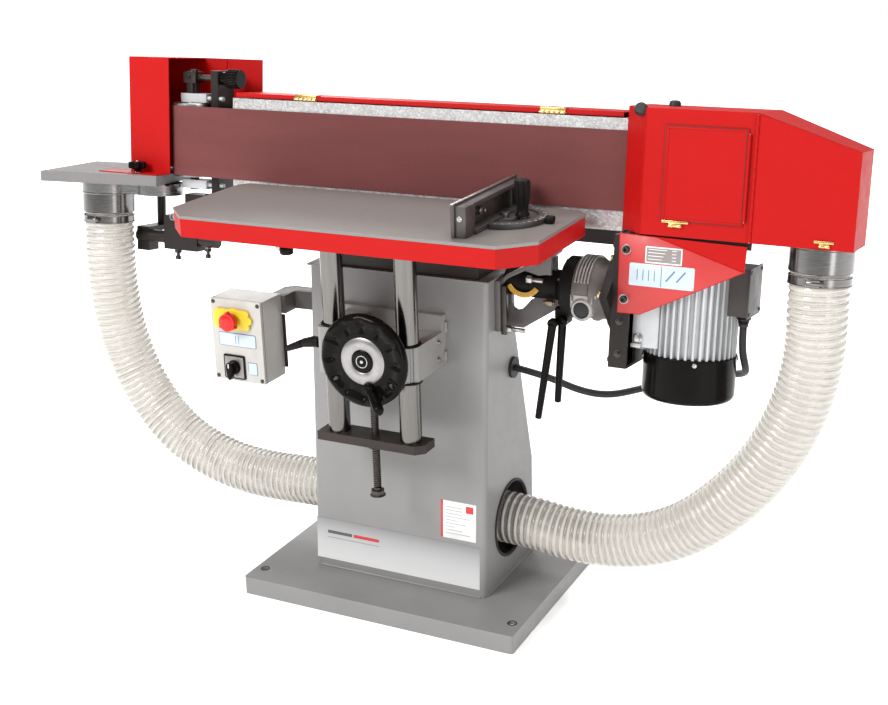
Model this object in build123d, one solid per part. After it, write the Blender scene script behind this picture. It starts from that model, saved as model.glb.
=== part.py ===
from build123d import *
import math
import os

# Oscillating-type edge sander on a pedestal: a 150 x 2600 mm belt runs round two upright drums on a head that
# tilts back on the pedestal. Millimetres, +Z up, +X to the operator's right, the operator stands at -Y.
# The origin is the centre of the base plate's underside.

# ---- driving dimensions ---------------------------------------------------------------------------------
BASE_X, BASE_Y, BASE_Z = 630, 490, 40
BASE_WALL = 6
ANCHOR_X, ANCHOR_Y, ANCHOR_R = 586, 392, 7

COLUMN_HALF = 202
COLUMN_FRONT, COLUMN_BACK = -129, 129
COLUMN_TOP_FRONT, COLUMN_TOP_BACK = -91, 13
COLUMN_KINK, COLUMN_TOP = 262, 705
SHEET = 4
HOSE_HOLE_Y, HOSE_HOLE_Z, HOSE_HOLE_R = 8, 167, 80
OUTLET_Z, OUTLET_R = 150, 60
DUCT_HALF = 150
CABLE_HOLE = (24, 498)

TABLE_HALF, TABLE_FRONT, TABLE_REAR = 390, -337, -34
TABLE_TOP, TABLE_PLATE, TABLE_SKIRT = 852, 6, 42
FRONT_CHAMFER, REAR_CHAMFER = 57, 20
GUIDE_X, GUIDE_Y, GUIDE_R = 81, -210, 22
YOKE_TOP, YOKE_BOTTOM = 406, 388
BRACKET_TOP, BRACKET_BOTTOM = 637, 533
SCREW_R, SCREW_END = 8, 272
LIFT_X = 6
WHEEL_X, WHEEL_Z, WHEEL_R = 24.5, 588, 93
WHEEL_REAR = -270
RUNNING = 0.05

PIVOT_Y, PIVOT_Z = -15, 696
LEAN = 7.0
BELT_Y, BELT_Z = -27.3, 850.3

BELT_WIDTH, BELT_THICK = 150, 1
DRUM_LEFT, DRUM_RIGHT = -570, 580
LOOP_R = 48
DRUM_R = 46.6
MOTOR_R = 86
HOSE_R = 55


# ---- helpers --------------------------------------------------------------------------------------------
def block(x, y, z):
    """A box from its low and high values on each axis."""
    centre = ((x[0] + x[1]) / 2, (y[0] + y[1]) / 2, (z[0] + z[1]) / 2)
    return Pos(*centre) * Box(x[1] - x[0], y[1] - y[0], z[1] - z[0])


def rod(axis, centre, radius, span):
    """A cylinder along X, Y or Z; centre holds the other two coordinates in order."""
    middle = (span[0] + span[1]) / 2
    length = abs(span[1] - span[0])
    if axis == "X":
        return Pos(middle, centre[0], centre[1]) * Rot(0, 90, 0) * Cylinder(radius, length)
    if axis == "Y":
        return Pos(centre[0], middle, centre[1]) * Rot(90, 0, 0) * Cylinder(radius, length)
    return Pos(centre[0], centre[1], middle) * Cylinder(radius, length)


def pipe(axis, centre, outer, inner, span):
    """A straight tube."""
    over = (span[0] - 1, span[1] + 1)
    return rod(axis, centre, outer, span) - rod(axis, centre, inner, over)


def between(start, end, radius, end_radius=None):
    """A rod or taper from one point to another."""
    along = Vector(*end) - Vector(*start)
    plane = Plane(origin=start, z_dir=along)
    if end_radius is None:
        return plane * Cylinder(radius, along.length, align=(Align.CENTER, Align.CENTER, Align.MIN))
    return plane * Cone(radius, end_radius, along.length, align=(Align.CENTER, Align.CENTER, Align.MIN))


def prism(points, axis, span):
    """A polygon drawn on the plane across an axis and pushed along it."""
    place = {
        "X": lambda a, b: (span[0], a, b),
        "Y": lambda a, b: (a, span[0], b),
        "Z": lambda a, b: (a, b, span[0]),
    }[axis]
    way = {"X": (1, 0, 0), "Y": (0, 1, 0), "Z": (0, 0, 1)}[axis]
    outline = Polyline([place(a, b) for a, b in points], close=True)
    return extrude(make_face(outline), amount=span[1] - span[0], dir=way)


def head_at_rest(shape):
    """From the belt's own frame (belt front at y=0, belt edge at z=0) to the leaning head."""
    tilt = Pos(0, PIVOT_Y, PIVOT_Z) * Rot(-LEAN, 0, 0) * Pos(0, -PIVOT_Y, -PIVOT_Z)
    return tilt * Pos(0, BELT_Y, BELT_Z) * shape


def solids(*shapes):
    """Separate solids that share one node."""
    flat = []
    for shape in shapes:
        flat.extend(shape.solids())
    return Compound(children=flat)


STAND = {}
HEAD = {}


# ---- pedestal -------------------------------------------------------------------------------------------
def column_front(z):
    """Y of the sloping front wall at a height."""
    slope = (COLUMN_TOP_FRONT - COLUMN_FRONT) / (COLUMN_TOP - BASE_Z)
    return COLUMN_FRONT + (z - BASE_Z) * slope


def base_plate():
    half_x, half_y = BASE_X / 2, BASE_Y / 2
    body = block((-half_x, half_x), (-half_y, half_y), (0, BASE_Z))
    body = fillet(body.edges().filter_by(Axis.Z), 6)
    inside_x, inside_y = half_x - BASE_WALL, half_y - BASE_WALL
    body -= block((-inside_x, inside_x), (-inside_y, inside_y), (-1, BASE_Z - BASE_WALL))
    for x in (-ANCHOR_X / 2, ANCHOR_X / 2):
        for y in (-ANCHOR_Y / 2, ANCHOR_Y / 2):
            body -= rod("Z", (x, y), ANCHOR_R, (0, BASE_Z + 1))
    return body


def column():
    outer_side = [
        (COLUMN_FRONT, BASE_Z),
        (COLUMN_BACK, BASE_Z),
        (COLUMN_BACK, COLUMN_KINK),
        (COLUMN_TOP_BACK, COLUMN_TOP),
        (COLUMN_TOP_FRONT, COLUMN_TOP),
    ]
    outer = prism(outer_side, "X", (-COLUMN_HALF, COLUMN_HALF))
    corners = [e for e in outer.edges() if abs(abs(e.center().X) - COLUMN_HALF) < 0.1 and e.length > 200]
    upright = [e for e in corners if BASE_Z + 60 < e.center().Z < COLUMN_TOP - 60]
    outer = fillet(upright, 10)
    inner_side = [
        (COLUMN_FRONT + SHEET, BASE_Z - 1),
        (COLUMN_BACK - SHEET, BASE_Z - 1),
        (COLUMN_BACK - SHEET, COLUMN_KINK - 1),
        (COLUMN_TOP_BACK - SHEET, COLUMN_TOP - SHEET),
        (COLUMN_TOP_FRONT + SHEET, COLUMN_TOP - SHEET),
    ]
    inside = COLUMN_HALF - SHEET
    body = outer - prism(inner_side, "X", (-inside, inside))
    body -= rod("X", (HOSE_HOLE_Y, HOSE_HOLE_Z), HOSE_HOLE_R, (-COLUMN_HALF - 5, COLUMN_HALF + 5))
    body -= rod("Y", (0, OUTLET_Z), OUTLET_R - 2, (COLUMN_BACK - 10, COLUMN_BACK + 5))
    body -= rod("X", CABLE_HOLE, 16, (COLUMN_HALF - 10, COLUMN_HALF + 5))
    return body


def suction_duct():
    """A tee inside the column: the two hoses enter it left and right, the outlet leaves at the rear."""
    hose_line = (HOSE_HOLE_Y, HOSE_HOLE_Z)
    outlet_line = (0, OUTLET_Z)
    body = rod("X", hose_line, HOSE_R, (-DUCT_HALF, DUCT_HALF))
    body += rod("Y", outlet_line, OUTLET_R - 4, (HOSE_HOLE_Y, COLUMN_BACK - SHEET))
    body -= rod("X", hose_line, HOSE_R - 3, (-DUCT_HALF - 1, DUCT_HALF + 1))
    return body - rod("Y", outlet_line, OUTLET_R - 7, (HOSE_HOLE_Y, COLUMN_BACK))


def rear_outlet():
    flange = pipe("Y", (0, OUTLET_Z), OUTLET_R + 18, OUTLET_R - 2, (COLUMN_BACK, COLUMN_BACK + 3))
    spout = pipe("Y", (0, OUTLET_Z), OUTLET_R, OUTLET_R - 2, (COLUMN_BACK + 3, COLUMN_BACK + 60))
    return flange + spout


STAND["base_plate"] = base_plate()
cap = block((-205, 205), (-94, 16), (COLUMN_TOP, COLUMN_TOP + 4))
STAND["column"] = column() + cap + rear_outlet()
STAND["rest_block"] = block((-140, 180), (-84, 8), (COLUMN_TOP + 4, 733))
STAND["suction_duct"] = suction_duct()
STAND["cable_grommet"] = rod("X", CABLE_HOLE, 22, (COLUMN_HALF, COLUMN_HALF + 6)) + rod(
    "X", CABLE_HOLE, 15.8, (COLUMN_HALF - 8, COLUMN_HALF)
)


# ---- table lift: measured from the lead screw, which stands LIFT_X to the right of the column's middle ----
LIFT = {}


def lift_bracket():
    rear = [(column_front(z), z) for z in (BRACKET_BOTTOM, BRACKET_TOP)]
    back = prism(rear + [(-112, BRACKET_TOP), (-112, BRACKET_BOTTOM)], "X", (-125, 106))
    low_top = 604
    low = block((-58, 106), (-238, -112), (BRACKET_BOTTOM, low_top))
    low = chamfer(low.edges().filter_by(Axis.Z).sort_by(Axis.X)[-2:].sort_by(Axis.Y)[0], 22)
    high = block((-108, -56), (-238, -112), (BRACKET_BOTTOM, 628))
    high = fillet(high.edges().filter_by(Axis.Z).sort_by(Axis.Y)[:2].sort_by(Axis.X)[0], 12)
    body = back + low + high
    for x in (-GUIDE_X, GUIDE_X):
        body -= rod("Z", (x, GUIDE_Y), GUIDE_R + RUNNING, (BRACKET_BOTTOM - 1, BRACKET_TOP + 1))
    body -= block((-26, 46), (-229, -186), (568, low_top - 3))
    body -= rod("Z", (0, GUIDE_Y), SCREW_R + RUNNING, (BRACKET_BOTTOM - 1, 570))
    body -= rod("Y", (WHEEL_X, WHEEL_Z), SCREW_R + RUNNING, (-240, -220))
    body -= rod("Y", (WHEEL_X, WHEEL_Z), SCREW_R + RUNNING, (-190, -170))
    body -= rod("X", (GUIDE_Y, 585), 6 + RUNNING, (-110, -100))
    return body


LIFT["lift_bracket"] = lift_bracket()


def table_outline(inset):
    half, front, rear = TABLE_HALF - inset, TABLE_FRONT + inset, TABLE_REAR - inset
    cut = inset * 0.41
    big, small = FRONT_CHAMFER - cut, REAR_CHAMFER - cut
    return [
        (-half + big, front),
        (half - big, front),
        (half, front + big),
        (half, rear - small),
        (half - small, rear),
        (-half + small, rear),
        (-half, rear - small),
        (-half, front + big),
    ]


def table_skirt():
    span = (TABLE_TOP - TABLE_SKIRT, TABLE_TOP - TABLE_PLATE)
    over = (span[0] - 1, span[1] + 1)
    return prism(table_outline(1), "Z", span) - prism(table_outline(6), "Z", over)


def table_frame():
    span = (814, TABLE_TOP - TABLE_PLATE)
    long_bar = block((-384, 384), (-238, -182), span)
    hollow = block((-120, 120), (-232, -188), (span[0] - 1, span[1] - 8))
    bar = long_bar - hollow
    for x in (LIFT_X - GUIDE_X, LIFT_X + GUIDE_X):
        bar += rod("Z", (x, GUIDE_Y), GUIDE_R + 5, span)
        bar -= rod("Z", (x, GUIDE_Y), GUIDE_R, (span[0] - 1, span[1] - 4))
    for x in (-300, 294):
        bar += block((x, x + 6), (-330, -182), span)
        bar += block((x, x + 6), (-182, -42), span)
    return bar


STAND["table_plate"] = prism(table_outline(0), "Z", (TABLE_TOP - TABLE_PLATE, TABLE_TOP))
STAND["table_frame"] = table_skirt() + table_frame()
GUIDE_SPAN = (YOKE_TOP, TABLE_TOP - 10)
STAND["guide_tubes"] = solids(
    *[pipe("Z", (LIFT_X + x, GUIDE_Y), GUIDE_R, GUIDE_R - 4, GUIDE_SPAN) for x in (-GUIDE_X, GUIDE_X)]
)


def yoke_plate():
    body = block((-118, 118), (-238, -182), (YOKE_BOTTOM, YOKE_TOP))
    upright = body.edges().filter_by(Axis.Z).sort_by(Axis.X)
    body = chamfer(upright[-2:].sort_by(Axis.Y)[0], 16)
    return body - rod("Z", (0, GUIDE_Y), 12, (YOKE_BOTTOM - 1, YOKE_TOP + 1))


LIFT["yoke_plate"] = yoke_plate() + pipe("Z", (0, GUIDE_Y), 12, SCREW_R + RUNNING, (YOKE_BOTTOM, YOKE_TOP)) + pipe(
    "Z", (0, GUIDE_Y), 17, SCREW_R + RUNNING, (YOKE_BOTTOM - 7, YOKE_BOTTOM)
)
LIFT["lead_screw"] = (
    rod("Z", (0, GUIDE_Y), SCREW_R, (SCREW_END, 600))
    + rod("Z", (0, GUIDE_Y), 15, (SCREW_END + 4, SCREW_END + 15))
    + rod("Z", (0, GUIDE_Y), 13.8, (581, 595))
)


# ---- handwheel ------------------------------------------------------------------------------------------
def handwheel():
    rim = Pos(WHEEL_X, WHEEL_REAR - 12, WHEEL_Z) * Rot(90, 0, 0) * Torus(WHEEL_R - 12, 12)
    centre = (WHEEL_X, WHEEL_Z)
    web = rod("Y", centre, WHEEL_R - 14, (WHEEL_REAR - 16, WHEEL_REAR - 8))
    hub = rod("Y", centre, 25, (WHEEL_REAR - 26, WHEEL_REAR + 4))
    body = rim + web + hub
    return body - rod("Y", centre, SCREW_R, (WHEEL_REAR - 20, WHEEL_REAR + 6))


GRIP_ROOT = (WHEEL_X + 11, WHEEL_REAR - 17, 533)
GRIP_END = (WHEEL_X + 65, -338, 502)
LIFT["handwheel"] = handwheel()
LIFT["wheel_shaft"] = rod("Y", (WHEEL_X, WHEEL_Z), SCREW_R, (WHEEL_REAR - 19, -172)) + rod(
    "Y", (WHEEL_X, WHEEL_Z), 10.5, (-224, -196)
)


def crank():
    """The grip that spins on a pin set in the wheel; the pin belongs to the wheel."""
    root, end = Vector(*GRIP_ROOT), Vector(*GRIP_END)
    along = (end - root).normalized()
    pin = between(tuple(root - along * 2), tuple(root + along * 40), 4)
    start = tuple(root + along * 9)
    sleeve = between(start, tuple(end), 8.5, 11.5)
    tip = Pos(*tuple(end - along * 2)) * Sphere(11.2)
    grip = sleeve + tip
    grip -= between(start, tuple(root + along * 44), 4 + RUNNING)
    return pin, grip


crank_pin, LIFT["crank_grip"] = crank()
LIFT["handwheel"] = LIFT["handwheel"] + crank_pin


def lift_lock_lever():
    stud = rod("X", (GUIDE_Y, 585), 6, (-118, -GUIDE_X - GUIDE_R - 0.4))
    hub = rod("X", (GUIDE_Y, 585), 11, (-134, -118))
    arm = between((-126, GUIDE_Y, 585), (-192, GUIDE_Y - 4, 562), 9, 6)
    return stud + hub + arm


LIFT["lift_lock_lever"] = lift_lock_lever()


# ---- mitre fence ----------------------------------------------------------------------------------------
MITRE_X, MITRE_Y = 268, -150
KNOB_X = MITRE_X + 35


def mitre_head():
    """Fence plate, its end ribs and the half-round protractor, in one casting."""
    bottom, top = TABLE_TOP + 0.5, TABLE_TOP + 60
    plate = block((237, 245), (-312, -36), (bottom, top))
    foot = block((237, 268), (-290, -60), (bottom, bottom + 9))
    ribs = block((245, 262), (-312, -304), (bottom, top)) + block((245, 262), (-186, -180), (bottom, top - 8))
    ribs += block((245, 262), (-120, -114), (bottom, top - 8)) + block((245, 256), (-304, -44), (top - 7, top))
    disc = rod("Z", (MITRE_X, MITRE_Y), 80, (bottom, bottom + 9))
    disc -= block((150, MITRE_X - 6), (-260, -40), (bottom - 1, bottom + 11))
    slot = pipe("Z", (MITRE_X, MITRE_Y), 40, 30, (bottom - 1, bottom + 10))
    sector = [(MITRE_X, MITRE_Y), (MITRE_X + 60, MITRE_Y - 100), (MITRE_X + 60, MITRE_Y + 100)]
    keep = prism(sector, "Z", (bottom - 2, bottom + 11))
    body = plate + foot + ribs + disc - (slot & keep)
    return body - rod("Z", (MITRE_X, MITRE_Y), 6 + RUNNING, (bottom - 1, bottom + 20))


STAND["mitre_head"] = mitre_head()
STAND["mitre_pins"] = solids(
    rod("Z", (MITRE_X, MITRE_Y), 6, (TABLE_TOP, TABLE_TOP + 9.8))
    + rod("Z", (MITRE_X, MITRE_Y), 9, (TABLE_TOP + 9.8, TABLE_TOP + 14)),
    rod("Z", (KNOB_X, MITRE_Y), 4, (TABLE_TOP, TABLE_TOP + 50)),
)


def mitre_knob():
    grip = rod("Z", (KNOB_X, MITRE_Y), 15, (TABLE_TOP + 36, TABLE_TOP + 78))
    for step in range(8):
        turn = math.radians(45 * step)
        x, y = KNOB_X + 16.5 * math.cos(turn), MITRE_Y + 16.5 * math.sin(turn)
        grip -= rod("Z", (x, y), 3.2, (TABLE_TOP + 35, TABLE_TOP + 79))
    neck_base = Pos(KNOB_X, MITRE_Y, TABLE_TOP + 10 + 13) * Cone(9, 13, 26)
    return grip + neck_base - rod("Z", (KNOB_X, MITRE_Y), 4 + RUNNING, (TABLE_TOP + 9, TABLE_TOP + 51))


STAND["mitre_knob"] = mitre_knob()


# ---- control box ----------------------------------------------------------------------------------------
BOX_X, BOX_Y, BOX_Z = (-436, -310), (-114, -42), (437, 618)
LID_FRONT = -122


def control_box():
    body = block(BOX_X, BOX_Y, BOX_Z)
    inner = [(low + 3, high - 3) for low, high in (BOX_X, BOX_Z)]
    return body - block(inner[0], (BOX_Y[0] - 1, BOX_Y[1] - 3), inner[1])


def control_arm():
    along_y = block((-340, -300), (BOX_Y[1], 20), (574, 614))
    along_x = block((-340, -COLUMN_HALF), (-20, 20), (574, 614))
    bore_y = block((-337, -303), (BOX_Y[1] - 1, 17), (577, 611))
    bore_x = block((-337, -COLUMN_HALF + 1), (-17, 17), (577, 611))
    return along_y + along_x - bore_y - bore_x


STAND["control_box"] = control_box()
STAND["control_lid"] = block(BOX_X, (LID_FRONT, BOX_Y[0]), BOX_Z) - rod("Y", (-376, 577), 6.05, (LID_FRONT - 1, -113)) \
    - rod("Y", (-384, 469), 5.05, (LID_FRONT - 1, -113))
STAND["control_arm"] = control_arm()
STAND["stop_button"] = rod("Y", (-376, 577), 6, (LID_FRONT - 20, LID_FRONT + 12)) + rod(
    "Y", (-376, 577), 19, (LID_FRONT - 32, LID_FRONT - 18)
)
STAND["switch_handle"] = (
    rod("Y", (-384, 469), 5, (LID_FRONT - 6, LID_FRONT + 12))
    + rod("Y", (-384, 469), 14, (LID_FRONT - 14, LID_FRONT - 5))
    + block((-390, -378), (LID_FRONT - 24, LID_FRONT - 12), (447, 488))
)


# ---- tilt bearing ---------------------------------------------------------------------------------------
COLLAR_X = (325, 352)
GEARBOX_X = (352, 430)
WORM_X, WORM_Z = 391, PIVOT_Z - 34


def tilt_bracket():
    """Side plate, two gussets and the trunnion tube, welded together."""
    plate = block((COLUMN_HALF, 214), (-60, 12), (600, 704))
    web = [(214, 600), (214, 712), (318, 766), (318, 728), (285, 650), (240, 618)]
    body = plate
    for front in (-49, 11):
        body += prism(web, "Y", (front, front + 8))
    body += prism([(214, 700), (214, 712), (318, 766), (318, 754)], "Y", (-41, 11))
    body -= rod("Y", (252, 652), 13, (-60, 30))
    body += rod("X", (PIVOT_Y, PIVOT_Z), 28, (210, COLLAR_X[0]))
    return body - rod("X", (PIVOT_Y, PIVOT_Z), 22, (214, COLLAR_X[0] + 1))


def clamp_collar():
    body = rod("X", (PIVOT_Y, PIVOT_Z), 60, COLLAR_X)
    ear = block((COLLAR_X[0], COLLAR_X[1]), (PIVOT_Y - 36, PIVOT_Y - 6), (PIVOT_Z - 70, PIVOT_Z - 40))
    body += ear
    for x in (331, 345):
        body -= rod("Y", (x, PIVOT_Z - 60), 4 + RUNNING, (PIVOT_Y - 37, PIVOT_Y - 16))
    return body - rod("X", (PIVOT_Y, PIVOT_Z), 12 + RUNNING, (COLLAR_X[0] + 4, COLLAR_X[1] + 1))


def gearbox_housing():
    drum = rod("X", (PIVOT_Y, PIVOT_Z), 62, GEARBOX_X)
    drum = fillet(drum.edges(), 5)
    boss = rod("Y", (WORM_X, WORM_Z), 27, (PIVOT_Y - 64, PIVOT_Y + 62))
    body = drum + boss
    body -= rod("X", (PIVOT_Y, PIVOT_Z), 40, (GEARBOX_X[0] + 8, GEARBOX_X[1] - 10))
    body -= rod("Y", (WORM_X, WORM_Z), 14, (PIVOT_Y - 50, PIVOT_Y + 50))
    body -= rod("Y", (WORM_X, WORM_Z), 7 + RUNNING, (PIVOT_Y + 40, PIVOT_Y + 70))
    body -= rod("X", (PIVOT_Y, PIVOT_Z), 12 + RUNNING, (GEARBOX_X[0] - 1, GEARBOX_X[0] + 10))
    return body - rod("X", (PIVOT_Y, PIVOT_Z), 20 + RUNNING, (GEARBOX_X[1] - 12, GEARBOX_X[1] + 1))


def tilt_lever(x, front, foot):
    """A clamp stud with a long lever hanging from its outer end."""
    z = PIVOT_Z - 60
    stud = rod("Y", (x, z), 4, (front, PIVOT_Y - 18))
    hub = rod("Y", (x, z), 9, (front - 2, front + 8))
    arm = between((x, front + 3, z), (x + foot[0], front + 3, z + foot[1]), 6)
    return stud + hub + arm


STAND["tilt_bracket"] = tilt_bracket()
STAND["clamp_collar"] = clamp_collar()
STAND["gearbox_housing"] = gearbox_housing()
STAND["worm_shaft"] = rod("Y", (WORM_X, WORM_Z), 7, (PIVOT_Y - 48, 68)) + rod(
    "Y", (WORM_X, WORM_Z), 10.5, (PIVOT_Y - 26, PIVOT_Y + 26)
)
STAND["tilt_handwheel"] = (
    Pos(WORM_X, 65, WORM_Z) * Rot(90, 0, 0) * Torus(37, 5)
    + rod("Y", (WORM_X, WORM_Z), 36, (63, 67))
    + rod("Y", (WORM_X, WORM_Z), 14, (55, 70))
    - rod("Y", (WORM_X, WORM_Z), 7, (54, 68))
)
STAND["front_tilt_lever"] = tilt_lever(331, PIVOT_Y - 62, (-44, -190))
STAND["rear_tilt_lever"] = tilt_lever(345, PIVOT_Y - 46, (-22, -150))


# ---- head: belt and platen ------------------------------------------------------------------------------
def racetrack(radius, span):
    ends = rod("Z", (DRUM_LEFT, LOOP_R), radius, span) + rod("Z", (DRUM_RIGHT, LOOP_R), radius, span)
    return ends + block((DRUM_LEFT, DRUM_RIGHT), (LOOP_R - radius, LOOP_R + radius), span)


def platen_beam():
    front = block((-436, 446), (3, 6), (-35, 172))
    top = block((-436, 446), (6, 86), (169, 172))
    bottom = block((-436, 446), (6, 86), (-38, -35)) + block((-436, 446), (3, 6), (-38, -35))
    body = front + top + bottom
    for x in (-436, 0, 443):
        body += block((x, x + 3), (6, 80), (-35, 169))
    return body


HEAD["sanding_belt"] = racetrack(LOOP_R, (0, BELT_WIDTH)) - racetrack(LOOP_R - BELT_THICK, (-1, BELT_WIDTH + 1))
HEAD["platen_beam"] = platen_beam() + block((-430, 440), (1.3, 3), (2, 148))
HEAD["head_beam"] = block((-515, 449), (10, 86), (-66, -38)) - block((-516, 450), (13, 83), (-63, -41))

# ---- head: idler end ------------------------------------------------------------------------------------
DRUM_Y = LOOP_R


def idler_plate():
    body = block((-512, -494), (30, 90), (-38, 226))
    for z in (166.5, -20.5):
        body -= rod("X", (38, z), 5 + RUNNING, (-513, -493))
    return body - rod("X", (DRUM_Y, 210), 6 + RUNNING, (-513, -493))


def idler_arm(span):
    """Holds one end of the idler shaft and slides on its own pin through the idler plate."""
    body = block((-592, -524), (28, 66), span)
    body = fillet(body.edges().filter_by(Axis.Z), 4)
    body += rod("X", (38, (span[0] + span[1]) / 2), 5, (-530, -484))
    return body - rod("Z", (DRUM_LEFT, DRUM_Y), 10, (span[0] - 1, span[1] + 1))


HEAD["idler_plate"] = idler_plate()
HEAD["idler_arms"] = solids(*[idler_arm(span) for span in ((157, 176), (-30, -11))])
HEAD["idler_shaft"] = (
    rod("Z", (DRUM_LEFT, DRUM_Y), 10, (-34, 227))
    + block((-586, -554), (32, 64), (198, 222))
    + rod("X", (DRUM_Y, 210), 6, (-560, -464))
)
HEAD["idler_drum"] = pipe("Z", (DRUM_LEFT, DRUM_Y), DRUM_R, 20, (-3, 153)) + pipe(
    "Z", (DRUM_LEFT, DRUM_Y), 20, 10.05, (-6, 155)
)
HEAD["tracking_knob"] = (
    rod("X", (DRUM_Y, 210), 14, (-493.5, -478)) + rod("X", (DRUM_Y, 210), 19, (-478, -446))
    - rod("X", (DRUM_Y, 210), 6 + RUNNING, (-494, -448))
)

# ---- head: left work table and guard --------------------------------------------------------------------
TABLE_TURN = math.radians(14.8)
TABLE_CORNER = (-594, -58)
BAR_Y, BAR_Z = 50, -148
PORT_X, PORT_Y = -772, 0
CHUTE_PORT_R, CHUTE_END_R = 58, 52
CHUTE_END_X, CHUTE_END_Y = -646, 21


def left_table():
    wide, deep = 270, 280
    across = (-math.cos(TABLE_TURN), -math.sin(TABLE_TURN))
    back = (-math.sin(TABLE_TURN), math.cos(TABLE_TURN))
    corners = []
    for a, b in ((0, 0), (wide, 0), (wide, deep), (0, deep)):
        corners.append((TABLE_CORNER[0] + across[0] * a + back[0] * b,
                        TABLE_CORNER[1] + across[1] * a + back[1] * b))
    return prism(corners, "Z", (-22, 0))


def chute_plan(inset, span):
    """Round over the hose, round under the belt's end, and straight between them."""
    over_hose = rod("Z", (PORT_X, PORT_Y), CHUTE_PORT_R - inset, span)
    over_belt = rod("Z", (CHUTE_END_X, CHUTE_END_Y), CHUTE_END_R - inset, span)
    return over_hose + over_belt + block((PORT_X, CHUTE_END_X), (-26 + inset, 57 - inset), span)


def dust_chute():
    """Flat sheet box below the left table, open above under the belt's end."""
    low, high = -48, -22.5
    body = chute_plan(0, (low, high)) - chute_plan(2, (low + 2, high - 2))
    body -= block((-640, -600), (-12, 54), (high - 3, high + 1))
    return body - rod("Z", (PORT_X, PORT_Y), 50, (low - 1, low + 3))


def support_arm():
    body = block((-584, -515), (30, 70), (-66, -44))
    body += block((-584, -556), (34, 66), (-100, -66))
    body += block((-646, -556), (34, 66), (-172, -96))
    return body - rod("X", (BAR_Y, BAR_Z), 14, (-650, -550))


def table_post():
    """Plate on the end of the support bar, and the post that carries the left table and chute."""
    plate = block((-728, -694), (42, 76), (-182, -128))
    step = block((-728, -694), (76, 126), (-140, -128))
    return plate + step + rod("Z", (-712, 112), 10, (-130, -22))


def end_guard():
    front = block((-703, -597), (-6, -4), (2, 251))
    left = block((-703, -701), (-4, 130), (2, 251))
    back = block((-703, -539), (128, 130), (2, 251))
    top = block((-703, -597), (-6, 130), (249, 251))
    foot = block((-757, -600), (-50, -4), (0, 2))
    return front + left + back + top + foot


HEAD["left_table"] = left_table()
port_line = (PORT_X, PORT_Y)
HEAD["dust_chute"] = dust_chute() + pipe("Z", port_line, HOSE_R, 48, (-92, -48))
HEAD["support_arm"] = support_arm()
HEAD["support_bar"] = rod("X", (BAR_Y, BAR_Z), 14, (-728, -510)) + table_post()
HEAD["end_guard"] = end_guard() + block((-545, -446), (130, 132), (20, 251))

# ---- head: covers ---------------------------------------------------------------------------------------
HOOD_LOW, HOOD_HIGH = -32, 196
HOOD_LEFT, HOOD_FRONT, HOOD_BACK, HOOD_END = 449, -55, 118, 884
HINGE_X, ACCESS_HINGE_X = 703, 690.5
COVER_HINGE_Y, COVER_HINGE_Z = 9, 176
COVER_HINGES = (-260, 292)


def rear_cover():
    lip = block((-434, 434), (12, 14), (174, 183))
    top = block((-434, 434), (12, 112), (181, 183))
    back = block((-434, 434), (110, 112), (-20, 183))
    return lip + top + back


def cover_hinges():
    """Leaves and barrels that swing with the cover; their pins stay on the platen beam."""
    leaves = None
    for x in COVER_HINGES:
        span = (x - 26, x + 26)
        leaf = block(span, (10.5, 30), (183, 184.5)) + block(span, (10.5, 12), (176, 183))
        leaf += pipe("X", (COVER_HINGE_Y, COVER_HINGE_Z), 3, 1.05, span)
        leaf -= rod("X", (COVER_HINGE_Y, COVER_HINGE_Z), 1.05, (x - 27, x + 27))
        leaves = leaf if leaves is None else leaves + leaf
    return leaves


def hood_plan(inset):
    return [
        (HOOD_LEFT + inset, -5 + inset),
        (499 + inset, HOOD_FRONT + inset),
        (HOOD_END - inset, HOOD_FRONT + inset),
        (HOOD_END - inset, 52 - inset),
        (706, HOOD_BACK - inset),
        (HOOD_LEFT + inset, HOOD_BACK - inset),
    ]


def under_slope(rise):
    """Everything below the hood's roof, which falls away to the right of the hinge."""
    high = HOOD_HIGH + rise
    profile = [(HOOD_LEFT - 20, -200), (HOOD_END + 20, -200), (HOOD_END + 20, 132 + rise), (HINGE_X, high),
               (HOOD_LEFT - 20, high)]
    return prism(profile, "Y", (-100, 200))


DOOR_X, DOOR_Z = (545, 683), (2, 161)


def hood_shell():
    outer = prism(hood_plan(0), "Z", (HOOD_LOW, HOOD_HIGH)) & under_slope(0)
    inner = prism(hood_plan(2), "Z", (HOOD_LOW + 2, HOOD_HIGH - 2)) & under_slope(-2)
    body = outer - inner
    body -= block((HOOD_LEFT - 5, HOOD_LEFT + 4), (-2, HOOD_BACK - 2), (HOOD_LOW + 2, HOOD_HIGH - 2))
    body -= block(DOOR_X, (HOOD_FRONT - 1, HOOD_FRONT + 3), DOOR_Z)
    body -= prism([(712, -24), (876, -24), (876, 128), (712, 182)], "Y", (HOOD_FRONT - 1, HOOD_FRONT + 3))
    body -= rod("Z", (DRUM_RIGHT, DRUM_Y), 30, (HOOD_LOW - 1, HOOD_LOW + 3))
    body -= rod("Z", (820, 0), 48, (HOOD_LOW - 1, HOOD_LOW + 3))
    return body


def hood_door():
    outline = [(HINGE_X + 2, HOOD_LOW), (HOOD_END, HOOD_LOW), (HOOD_END, 138), (HINGE_X + 2, 194)]
    panel = prism(outline, "Y", (HOOD_FRONT - 2.5, HOOD_FRONT - 0.5))
    barrel = pipe("Z", (HINGE_X, HOOD_FRONT - 3), 2.5, 1.05, (HOOD_LOW + 2, 192))
    return panel + barrel


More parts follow.
